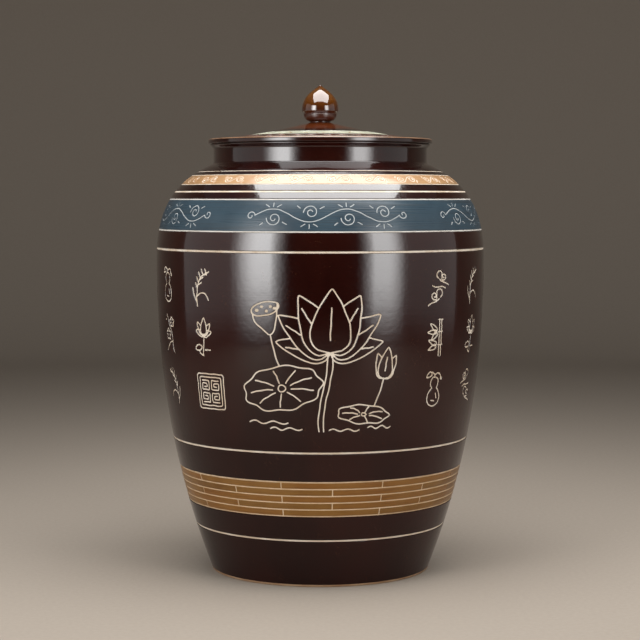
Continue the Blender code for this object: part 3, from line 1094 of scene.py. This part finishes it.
def slipRing(name, line, low, high, top, bottom, finish, strokes=None, edge=bandSet["edge"]):
    columns, faceLow, faceHigh = jar["columns"], low + edge, high - edge

    def face(length, depth=0.0):
        return line.at(length, depth + top)

    def plainRow(length, depth):
        return (*line.at(length, depth)[:2], 0.0, 0.0, 0)

    rows = [plainRow(low, bottom), plainRow(low, top + edge)]
    sheet, carved = None, None
    if strokes:
        depth, gridStep = strokes["depth"], bandSet["gridStep"]
        sheet = CarvedSheet(faceLow, faceHigh, columns, [strokes], depth, face, gridStep)
        carved = {len(rows): sheet}
    rows += line.rows(faceLow, faceHigh, oneStrip if strokes else bandSet["faceStep"], top)
    rows += [plainRow(high, top + edge), plainRow(high, bottom)]
    backCount = len(line.rows(low, high, bandSet["backStep"]))
    rows += [plainRow(length, bottom) for length in np.linspace(high, low, backCount)[1:-1]]
    return turnedMesh(name, rows, columns, ring=True, carved=carved, finishes=(finish,)), sheet


# The vine on the blue band: a wave with a curl in each bay, drawn once and set round the jar five times
vineSet = {
    "wave": 70.0, "rise": 6.4, "crests": (-52.5, -17.5, 17.5, 52.5),
    "rays": (
        (-3, 8.0, -58, 1.0, 5.5), (3, 8.0, 58, 1.0, 5.5), (0, 8.3, 0, 0.6, 4.4),
        (9.5, -6.5, 118, 0.5, 5.0), (-8.5, -7.0, -128, 0.5, 4.2),
    ),
}


def vine():
    wave = vineSet["wave"]
    x = np.linspace(-wave, wave, 140)
    found = [stroke(np.column_stack((x, vineSet["rise"] * np.sin(2 * math.pi * x / wave))))]
    for k, crest in enumerate(vineSet["crests"]):
        way = 1 if k % 2 == 0 else -1
        bay = [stroke(curl((crest + 1.5, -3.1), 7.2, 1.5, 178, 698, 60))]
        bay += [ray((crest + dx, y), tilt, start, end) for dx, y, tilt, start, end in vineSet["rays"]]
        found += [(line * (1, way), closed) for line, closed in bay]
    for way, start in ((1, 200), (-1, 20)):
        found.append(stroke(curl((way * 74.2, way * 0.6), 4.4, 1.2, start, start + 360, 30)))
    return found


# One S-shaped scroll, the same turned half round
def scroll(size=1.0):
    arm = bend((-6.5, -4.2), (-3.5, -4.2), (-1.5, -1.5), (0, 0), 10)
    half = chain(curl((-6.5, 0), 1.3, 4.2, -250, 270, 40), arm)
    found = [stroke(half, -half[::-1]), ray((-11.6, 3.2), 20, -1.5, 1.5), ray((11.6, -3.2), 20, -1.5, 1.5)]
    return movedBy(found, scale=size)


def repeated(drawing, count, length, start=0.0, waver=0.12):
    step = 2 * math.pi / count
    return [
        ((start + step * (k + 0.5)) - math.pi, length, byHand(drawing, k, reach=waver)) for k in range(count)
    ]


bandLooks = {
    "blue": {"count": 5, "half": 0.00042, "start": math.radians(2.7), "border": 0.0013},
    "tan": {"count": 24, "half": 0.00045, "start": 0.0, "border": 0.0010},
}


def bandParts(name, drawing, slipFinish, markFinish, edgeFinish):
    look, bottom = bandLooks[name], bandSet["bottom"]
    low, high = (side.atHeight(height) for height in bands[name])
    innerLow, innerHigh = low + look["border"], high - look["border"]
    strokes = {
        "half": look["half"], "wall": bandSet["cutWall"], "depth": bandSet["cutDepth"],
        "spacing": bandSet["spacing"],
        "drawings": repeated(drawing, look["count"], (low + high) / 2, look["start"]),
    }
    band, sheet = slipRing(
        name + "Band", side, innerLow, innerHigh, bandSet["top"], bottom, slipFinish, strokes
    )
    edges = [
        slipRing(name + "Edge", side, start, end, bandSet["borderTop"], bottom, edgeFinish)[0]
        for start, end in ((low, innerLow), (innerHigh, high))
    ]
    marks = sheet.clay(name + "Marks", 0, bandSet["clayTop"], bandSet["clayBottom"], markFinish)
    return band, marks, edges


blueBand, vineMarks, blueEdges = bandParts("blue", vine(), blueSlip, markClay, borderClay)
tanBand, scrollMarks, tanEdges = bandParts("tan", scroll(), tanSlip, creamClay, creamClay)
ownPiece(blueBand, "jar")
ownPiece(tanBand, "jar")
ownPiece(vineMarks, "jar")
ownPiece(scrollMarks, "jar")


def clayRings():
    made = [*blueEdges, *tanEdges]
    for name, middle, half in ringPlaces():
        strip = (middle - half, middle + half, cut["clayTop"], cut["clayBottom"])
        made.append(slipRing(name, side, *strip, creamClay, edge=cut["clayEdge"])[0])
    return joinPieces("clayRings", made)


ownPiece(clayRings(), "jar")


# Bamboo slips: five rows of long tiles laid in a cream ring, with the joints of each row halfway along those
# of the next
slips = {
    "rows": 5, "each": 9, "firstJoint": math.radians(-15.2), "joint": 0.00115, "level": 0.00105,
    "border": 0.0012, "top": 0.00008, "edge": 0.00022, "bottom": 0.0008, "crown": 0.00018,
    "ringTop": 0.00042, "radius": 0.14, "stepsAlong": 26, "stepsUp": 4,
}


def slipTile(startAngle, endAngle, low, high, points, faces):
    bevel = slips["edge"]
    bevelAngle = bevel / slips["radius"]
    along = np.linspace(startAngle + bevelAngle, endAngle - bevelAngle, slips["stepsAlong"])
    angles = np.r_[startAngle, startAngle, along, endAngle, endAngle]
    lengths = np.r_[low, low, np.linspace(low + bevel, high - bevel, slips["stepsUp"]), high, high]
    rowCount, columnCount = len(lengths), len(angles)
    first = len(points)
    for i, length in enumerate(lengths):
        for j, angle in enumerate(angles):
            ring = min(i, j, rowCount - 1 - i, columnCount - 1 - j)
            across = (length - (low + high) / 2) / ((high - low) / 2)
            face = slips["top"] + slips["crown"] * across**2
            depth = (slips["bottom"], face + bevel, face)[min(ring, 2)]
            radius, height = side.at(length, depth)[:2]
            points.append((radius * math.sin(angle), -radius * math.cos(angle), height))

    def at(i, j):
        return first + i * columnCount + j

    for i in range(rowCount - 1):
        for j in range(columnCount - 1):
            faces.append((at(i, j), at(i, j + 1), at(i + 1, j + 1), at(i + 1, j)))
    top, last = rowCount - 1, columnCount - 1
    for j in range(1, last - 1):
        faces.append((at(top, j), at(top, j + 1), at(0, j + 1), at(0, j)))
    faces.append((at(top, 1), at(0, 1), *(at(i, 0) for i in range(top + 1))))
    faces.append((at(0, last - 1), at(top, last - 1), *(at(i, last) for i in range(top, -1, -1))))
    return len(points) - first


def bambooSlips(finish):
    low, high = (side.atHeight(height) for height in bands["slips"])
    low, high = low + slips["border"], high - slips["border"]
    pitch = (high - low + slips["level"]) / slips["rows"]
    chance = random.Random(41)
    points, faces, tones = [], [], []
    for row in range(slips["rows"]):
        bottom = low + row * pitch
        for k in range(slips["each"]):
            start = slips["firstJoint"] + (k + (row % 2) / 2) * 2 * math.pi / slips["each"]
            gap = slips["joint"] / 2 / slips["radius"]
            end = start + 2 * math.pi / slips["each"] - gap
            made = slipTile(start + gap, end, bottom, bottom + pitch - slips["level"], points, faces)
            tones += [chance.random()] * made
    piece = meshPiece("bambooSlips", points, faces, finishes=(finish,))
    tone = piece.data.attributes.new("slipTone", "FLOAT", "POINT")
    tone.data.foreach_set("value", tones)
    return piece


bambooLook = {
    "shader": {"IOR": 1.5, "Specular IOR Level": 0.35, "Coat Weight": 0.10, "Coat Roughness": 0.12},
    "tones": (
        (0.0, (0.155, 0.066, 0.010)), (0.35, (0.200, 0.088, 0.014)),
        (0.7, (0.212, 0.082, 0.012)), (1.0, (0.182, 0.090, 0.019)),
    ),
    "streak": (0.108, 0.042, 0.007), "pale": (0.29, 0.150, 0.038), "rough": (0.28, 0.42),
    "relief": (0.35, 0.0004),
}


def makeBamboo():
    made, tree, shader, place = startMaterial("bambooGlaze", bambooLook["shader"])
    tone = tree.nodes.new("ShaderNodeAttribute")
    tone.attribute_name = "slipTone"
    colour = toneRamp(tree, bambooLook["tones"], tone.outputs["Fac"])
    fibres = useGroup(tree, wheelLines, place, {"Lines Per Metre": 1300.0, "Wander": 22.0})
    drift = useGroup(tree, slowDrift, place, {"Size": 34.0, "Run": 0.8})
    colour = tint(tree, between(tree, fibres, 0.5, 1.0, 0.0, 0.65), colour, bambooLook["streak"])
    colour = tint(tree, sums(tree, "MULTIPLY", drift, 0.30), colour, bambooLook["pale"])
    rough = between(tree, fibres, 0.0, 1.0, *bambooLook["rough"])
    relief, plain = (fibres, *bambooLook["relief"]), bambooLook["tones"][1][1]
    return endMaterial(made, shader, colour, rough, relief, plain)


ownPiece(bambooSlips(makeBamboo()), "jar")
slipEdges = [side.atHeight(height) for height in bands["slips"]]
slipGround, _ = slipRing("slipGround", side, *slipEdges, slips["ringTop"], bandSet["bottom"], jointClay)
ownPiece(slipGround, "jar")


# Lid
lid = {
    "columns": 256, "seat": 0.4287, "overhang": 0.0021, "wall": 0.0050, "recess": 0.0007,
    "edge": 0.0049, "edgeRound": 0.0020, "edgeFoot": 0.0008, "rimPoints": 9,
    "domeRise": 0.0195, "domePower": 1.5, "domeStep": 0.003, "ceilingStep": 0.011, "knobFoot": 0.0098,
    "spigotRadius": 0.0945, "spigotDepth": 0.016, "spigotRound": 0.0010, "seatSoft": 0.0010,
    "hollowRadius": 0.0895, "hollowCorner": 0.0045, "hollowSoft": 0.0006,
    "grooveRadius": 0.0925, "grooveBottom": -0.0125, "grooveTop": -0.0070, "grooveSoft": 0.0003,
    "lineAngles": (0.50, 1.25), "lineRise": 0.00004, "lineSunk": 0.0003,
    "lineLook": {
        "shader": {"IOR": 1.5, "Specular IOR Level": 0.8, "Coat Weight": 0.6, "Coat Roughness": 0.05},
        "clean": (0.27, 0.155, 0.09), "stained": (0.20, 0.105, 0.056), "speck": (0.10, 0.04, 0.02),
        "rough": (0.2, 0.3),
    },
}
lidRadius = lipRadius + lid["overhang"]
domeEdge = lidRadius - lid["edgeRound"]
rimCentre = (domeEdge, lid["seat"] + lid["edge"] - lid["edgeRound"])

# The two rings on the dome, from the outer to the inner one, and the strokes cut in them
lidBands = {
    "scroll": {"radii": (0.0780, 0.0950), "count": 18, "half": 0.00055, "waver": 0.12},
    "pale": {"radii": (0.0540, 0.0745), "count": 16, "half": 0.00050, "waver": 0.10},
}
lidCut = {
    "wall": 0.00025, "depth": 0.00035, "top": 0.00015, "bottom": 0.0008,
    "clayTop": 0.00024, "clayBottom": 0.00045,
}


def domeHeight(radius):
    return lid["edge"] + lid["domeRise"] * (1 - radius / domeEdge) ** lid["domePower"]


def domeLine():
    radii = np.linspace(domeEdge, lid["knobFoot"], 160)
    heights = [lid["seat"] + domeHeight(radius) for radius in radii]
    rim = turn(rimCentre, lid["edgeRound"], 0, upright, lid["rimPoints"])
    return chain(rim, np.column_stack((radii, heights)))


dome = Outline(domeLine())


def lidRows():
    seat = lid["seat"]
    ceilingEdge = lid["hollowRadius"] - lid["hollowCorner"]
    radii = np.arange(0.0, ceilingEdge, lid["ceilingStep"])
    ceiling = [(r, seat + domeHeight(max(r, lid["knobFoot"])) - lid["wall"]) for r in radii]
    cornerTop = seat + domeHeight(ceilingEdge) - lid["wall"]
    corner = turn((ceilingEdge, cornerTop - lid["hollowCorner"]), lid["hollowCorner"], upright, 0, 7)
    hollow, spigot, bottom = lid["hollowRadius"], lid["spigotRadius"], seat - lid["spigotDepth"]
    soft, hollowSoft, grooveSoft = lid["spigotRound"], lid["hollowSoft"], lid["grooveSoft"]
    groove, grooveLow, grooveHigh = lid["grooveRadius"], seat + lid["grooveBottom"], seat + lid["grooveTop"]
    under = chain(
        ceiling, corner, (hollow, bottom + hollowSoft), (hollow + hollowSoft, bottom),
        turn((spigot - soft, bottom + soft), soft, -upright, 0, 6),
        (spigot, grooveLow - grooveSoft), (spigot - grooveSoft, grooveLow),
        (groove, grooveLow), (groove, grooveHigh),
        (spigot - grooveSoft, grooveHigh), (spigot, grooveHigh + grooveSoft),
        (spigot, seat - lid["seatSoft"]), (spigot + lid["seatSoft"], seat),
        turn((lidRadius - lid["edgeFoot"], seat + lid["edgeFoot"]), lid["edgeFoot"], -upright, 0, 6),
    )
    rows = smoothRows(under)
    rimEnd = lid["rimPoints"] - 1
    rows += [(*dome.at(length), 0) for length in dome.length[:rimEnd]]
    cursor = dome.length[rimEnd]
    for look in lidBands.values():
        inner, outer = look["radii"]
        low, high = dome.atRadius(outer), dome.atRadius(inner)
        rows += dome.rows(cursor, low - cut["wall"], lid["domeStep"])
        rows += dome.rows(low, high, lid["domeStep"], lid["recess"])
        cursor = high + cut["wall"]
    rows += dome.rows(cursor, dome.length[-1], lid["domeStep"])
    return rows + [(0.0, dome.points[-1, 1], 0.0, 1.0, 0)]


# Arches of petals round the lid's pale ring
def petalArch():
    reach, rise = 10.2, 9.0
    right = bend((0, rise), (4.5, rise - 4), (reach, rise - 7), (reach, -rise), 24)
    found = [stroke(right[::-1] * (-1, 1), right)]
    found += [ray((0, -rise), 0, 1.5, 10.5), ray((0, -rise), -24, 2.5, 8.5), ray((0, -rise), 24, 2.5, 8.5)]
    return found


def lidBand(name, drawing, finish, markFinish):
    look, title = lidBands[name], "lid" + name.capitalize()
    inner, outer = look["radii"]
    low, high = dome.atRadius(outer), dome.atRadius(inner)
    strokes = {
        "half": look["half"], "wall": lidCut["wall"], "depth": lidCut["depth"], "spacing": bandSet["spacing"],
        "drawings": repeated(drawing, look["count"], (low + high) / 2, waver=look["waver"]),
    }
    band, sheet = slipRing(title + "Ring", dome, low, high, lidCut["top"], lidCut["bottom"], finish, strokes)
    return band, sheet.clay(title + "Marks", 0, lidCut["clayTop"], lidCut["clayBottom"], markFinish)


lidBody = turnedMesh("jarLid", lidRows(), lid["columns"], finishes=(lidGlaze,))
ownPiece(lidBody, "lid", "lid")
redSlip = makeBrown("redSlip", 0.45, {"reach": (0.11, 0.13), "colour": (0.16, 0.045, 0.026)})
scrollRing, lidScrolls = lidBand("scroll", scroll(0.92), redSlip, creamClay)
paleRing, lidPetals = lidBand("pale", petalArch(), paleSlip, tanSlip)
ownPiece(scrollRing, "lid")
ownPiece(lidScrolls, "lid")
ownPiece(paleRing, "lid")
ownPiece(lidPetals, "lid")


# The line where the glaze broke to tan over the lid's edge
def edgeLine():
    start, end = lid["lineAngles"]
    outer = turn(rimCentre, lid["edgeRound"] + lid["lineRise"], start, end, 7)
    inner = turn(rimCentre, lid["edgeRound"] - lid["lineSunk"], end, start, 7)
    rows, finish = smoothRows(chain(outer, inner)), makeClay("edgeTan", lid["lineLook"])
    return turnedMesh("lidEdgeLine", rows, lid["columns"], ring=True, finishes=(finish,))


ownPiece(edgeLine(), "lid")


# Knob: a pointed bud on a pinched roll
knob = {
    "columns": 128, "gap": 0.0003, "footRadius": 0.0098, "footHeight": 0.0004,
    "rollRadius": 0.0166, "rollRise": 0.0072, "rollPull": 0.0044,
    "rollTaper": math.radians(8.0), "rollLean": math.radians(15.0),
    "pinchRadius": 0.0163, "pinchRise": 0.0008, "budRadius": 0.0185, "budRise": 0.0032,
    "crownRise": 0.0250, "crownPull": 0.0150, "tipSlope": math.radians(38.0), "tipPull": 0.0080,
    "tipRadius": 0.0008, "tipSwell": 1.06, "tipStart": 0.45,
}
knobFloor = lid["seat"] + domeHeight(lid["knobFoot"]) + knob["gap"]


def knobLine():
    foot = (knob["footRadius"], knob["footHeight"])
    roll = (knob["rollRadius"], foot[1] + knob["rollRise"])
    pinch = (knob["pinchRadius"], roll[1] + knob["pinchRise"])
    budSide = (knob["budRadius"], pinch[1] + knob["budRise"])
    tip = (knob["tipRadius"], budSide[1] + knob["crownRise"])
    third, rollPull, budRise = knob["pinchRise"] / 3, knob["rollPull"], knob["budRise"]
    halfTip = knob["tipRadius"] / 2
    crown = turn((0.0, tip[1] - halfTip), knob["tipRadius"] * knob["tipSwell"], knob["tipStart"], upright, 5)
    line = chain(
        (0.0, 0.0), (foot[0], 0.0),
        sweep(foot, knob["rollLean"], rollPull, roll, -upright - knob["rollTaper"], rollPull, 20),
        sweep(roll, upright, third, pinch, -upright, third, 10),
        sweep(pinch, upright, budRise / 4, budSide, -upright, budRise / 2, 10),
        sweep(budSide, upright, knob["crownPull"], tip, -knob["tipSlope"], knob["tipPull"], 44),
        crown[1:-1], (0.0, tip[1] + halfTip),
    )
    return line + (0.0, knobFloor)


amberLook = {
    "shader": {"IOR": 1.52, "Specular IOR Level": 0.9, "Coat Roughness": 0.02, "Coat IOR": 1.5},
    "heights": (0.000, 0.038), "shine": (0.007, 0.0115), "rough": (0.30, 0.05),
    "tones": (
        (0.0, (0.055, 0.010, 0.003)), (0.26, (0.032, 0.006, 0.002)), (0.38, (0.050, 0.012, 0.002)),
        (0.56, (0.100, 0.031, 0.0012)), (0.80, (0.108, 0.036, 0.0012)), (1.0, (0.060, 0.016, 0.001)),
    ),
    "run": (0.055, 0.012, 0.003), "speck": (0.03, 0.008, 0.003), "plain": (0.22, 0.07, 0.01),
    "wander": 0.10, "relief": (0.05, 0.001),
}


def makeAmber():
    made, tree, shader, place = startMaterial("amberGlaze", amberLook["shader"])
    height = put(tree, "SeparateXYZ", {0: place}).node.outputs["Z"]
    low, high = (knobFloor + step for step in amberLook["heights"])
    drift = useGroup(tree, slowDrift, place, {"Size": 120.0, "Run": 0.25})
    wander, rise = amberLook["wander"], between(tree, height, low, high, soft=False)
    shifted = sums(tree, "MULTIPLY_ADD", drift, wander, rise)
    colour = toneRamp(tree, amberLook["tones"], sums(tree, "SUBTRACT", shifted, wander / 2))
    colour = tint(tree, sums(tree, "MULTIPLY", drift, 0.45), colour, amberLook["run"])
    specks = useGroup(tree, ironSpecks, place, {"Specks Per Metre": 900.0, "Size": 0.16})
    colour = tint(tree, specks, colour, amberLook["speck"])
    # the roll is duller than the bud over it
    shine = between(tree, height, *(knobFloor + step for step in amberLook["shine"]))
    tree.links.new(shine, shader.inputs["Coat Weight"])
    rough = between(tree, shine, 0.0, 1.0, *amberLook["rough"], soft=False)
    rough = sums(tree, "MULTIPLY_ADD", drift, 0.03, rough)
    skin = useGroup(tree, kilnSkin, place, {"Peel Per Metre": 420.0, "Wheel": 0.2})
    return endMaterial(made, shader, colour, rough, (skin, *amberLook["relief"]), amberLook["plain"])


amberGlaze = makeAmber()
knobPiece = turnedMesh("budKnob", smoothRows(knobLine()), knob["columns"], finishes=(amberGlaze,))
ownPiece(knobPiece, "lid", "lid_knob")


# Seal ring: a flat back in the spigot's groove and two soft lips that reach out to the neck
seal = {
    "columns": 192, "gap": 0.0003, "back": 0.0020, "lip": 0.0016, "tipRound": 0.00022,
    "underPulls": (0.0008, 0.0016), "overPulls": (0.0018, 0.0009), "sag": 0.0001,
}


def sealLine():
    inner = lid["grooveRadius"] + seal["gap"]
    back = inner + seal["back"]
    reach = jar["mouthRadius"] - seal["gap"]
    top = lid["seat"] + lid["grooveTop"] - seal["gap"]
    bottom = lid["seat"] + lid["grooveBottom"] + seal["gap"]
    droop = seal["lip"] / 4
    soft = seal["tipRound"]

    def lip(base, tipHeight, ceiling):
        tip = (reach - soft, tipHeight - soft)
        (first, second), (third, fourth), sag = seal["underPulls"], seal["overPulls"], seal["sag"]
        under = bend(
            (back, base), (back + first, base + sag), (reach - second, tipHeight - soft * 2),
            (tip[0], tip[1] - soft), 7,
        )
        over = bend(
            (tip[0], tip[1] + soft), (reach - third, ceiling - sag), (back + fourth, ceiling),
            (back, ceiling), 7,
        )
        return chain(under, turn(tip, soft, -upright, upright, 6), over)

    return chain(
        (inner, bottom), lip(bottom, bottom + seal["lip"] - droop, bottom + seal["lip"]),
        lip(top - seal["lip"], top - droop, top), (inner, top),
    )


siliconeLook = {
    "shader": {"IOR": 1.41, "Specular IOR Level": 0.45, "Subsurface Weight": 0.25, "Subsurface Scale": 0.004},
    "clear": (0.66, 0.65, 0.61), "dusty": (0.56, 0.54, 0.48), "rough": (0.32, 0.48), "relief": (0.08, 0.0003),
}


def makeSilicone():
    made, tree, shader, place = startMaterial("clearSilicone", siliconeLook["shader"])
    dust = useGroup(tree, slowDrift, place, {"Size": 90.0, "Run": 1.0})
    colour = tint(tree, dust, siliconeLook["clear"], siliconeLook["dusty"])
    rough = between(tree, dust, 0.0, 1.0, *siliconeLook["rough"])
    relief = (noise(tree, place, 900.0), *siliconeLook["relief"])
    return endMaterial(made, shader, colour, rough, relief, siliconeLook["clear"])


silicone = makeSilicone()
sealPiece = turnedMesh("sealRing", smoothRows(sealLine()), seal["columns"], ring=True, finishes=(silicone,))
ownPiece(sealPiece, "seal", "seal_ring")


# Stage: a pale floor that sweeps up into a round wall
stageSet = {
    "floorRadius": 2.3, "cove": 0.9, "wallHeight": 2.6, "columns": 96,
    "colour": (0.42, 0.36, 0.30), "other": (0.39, 0.335, 0.28), "rough": (0.75, 0.95), "relief": (0.1, 0.001),
}


def makeStage():
    cove = stageSet["cove"]
    section = chain(
        (0, 0), (stageSet["floorRadius"], 0),
        turn((stageSet["floorRadius"], cove), cove, -upright, 0, 17),
        (stageSet["floorRadius"] + cove, stageSet["wallHeight"]),
    )
    made, tree, shader, place = startMaterial("paleFloor", {"Specular IOR Level": 0.2})
    fibres = noise(tree, place, 220.0, detail=4.0)
    colour = tint(tree, fibres, stageSet["colour"], stageSet["other"])
    rough = between(tree, fibres, 0.3, 0.7, *stageSet["rough"])
    endMaterial(made, shader, colour, rough, (fibres, *stageSet["relief"]), stageSet["colour"])
    return turnedMesh("studioFloor", smoothRows(section[::-1]), stageSet["columns"], finishes=(made,))


makeStage()


# Lights: two upright softboxes in front that fade to their sides and foot, one overhead, and two dim panels.
# A fade gives how much of the face fades on the inner side, on the outer side and at the foot.
boxBase = {"distance": 1.25, "height": 0.46}
panelBase = {"distance": 1.3, "size": (1.115, 1.0), "height": 0.5, "fade": (0.02, 0.02, 0.14)}
lamps = {
    "leftBox": {
        **boxBase, "angle": -39.5, "size": (1.02, 0.95), "radiance": 7.3, "fade": (0.35, 0.487, 0.29),
    },
    "rightBox": {
        **boxBase, "angle": 40.6, "size": (0.866, 0.95), "radiance": 5.7, "fade": (0.364, 0.419, 0.26),
    },
    "leftPanel": {**panelBase, "angle": -80.4, "radiance": 0.38},
    "rightPanel": {**panelBase, "angle": 80.4, "radiance": 0.34},
}
topLamp = {
    "place": (0.0765, -0.100, 1.116), "size": (1.07, 0.895), "tilt": math.radians(26.6), "radiance": 5.0,
}
worldLevel = 0.07


def softbox(name, place, target, size, radiance, fade=None, innerSide=1):
    data = bpy.data.lights.new(name, "AREA")
    data.shape = "RECTANGLE"
    data.size, data.size_y = size
    data.energy = radiance * math.pi * size[0] * size[1]
    if fade:
        # the lamp's own face coordinates: across grows towards the inner side, up towards the top
        data.use_nodes = True
        tree = data.node_tree
        glow = next(n for n in tree.nodes if n.type == "EMISSION")
        face = tree.nodes.new("ShaderNodeNewGeometry").outputs["Parametric"]
        parts = put(tree, "SeparateXYZ", {0: face}).node.outputs
        inner, outer, bottom = fade
        across = parts["X"] if innerSide > 0 else sums(tree, "SUBTRACT", 1.0, parts["X"])
        level = between(tree, across, 0.0, outer)
        innerRamp = between(tree, across, 1.0, 1.0 - inner, soft=False)
        level = sums(tree, "MULTIPLY", level, sums(tree, "POWER", innerRamp, 3.0))
        level = sums(tree, "MULTIPLY", level, between(tree, parts["Y"], 0.0, bottom))
        tree.links.new(level, glow.inputs["Strength"])
    lamp = bpy.data.objects.new(name, data)
    lamp.location = place
    lamp.rotation_mode = "QUATERNION"
    lamp.rotation_quaternion = Vector(np.array(target) - np.array(place)).to_track_quat("-Z", "Y")
    lamp.visible_camera = False
    bpy.context.scene.collection.objects.link(lamp)


for name, lamp in lamps.items():
    a = math.radians(lamp["angle"])
    place = (lamp["distance"] * math.sin(a), -lamp["distance"] * math.cos(a), lamp["height"])
    target, innerSide = (0, 0, lamp["height"]), 1 if a < 0 else -1
    softbox(name, place, target, lamp["size"], lamp["radiance"], lamp["fade"], innerSide)
x, y, z = topLamp["place"]
below = (x, y + math.sin(topLamp["tilt"]), z - math.cos(topLamp["tilt"]))
softbox("topBox", topLamp["place"], below, topLamp["size"], topLamp["radiance"])

world = bpy.data.worlds.new("studio")
world.use_nodes = True
world.node_tree.nodes["Background"].inputs["Color"].default_value = (worldLevel, worldLevel, worldLevel, 1)
bpy.context.scene.world = world
print("lights and stage set")
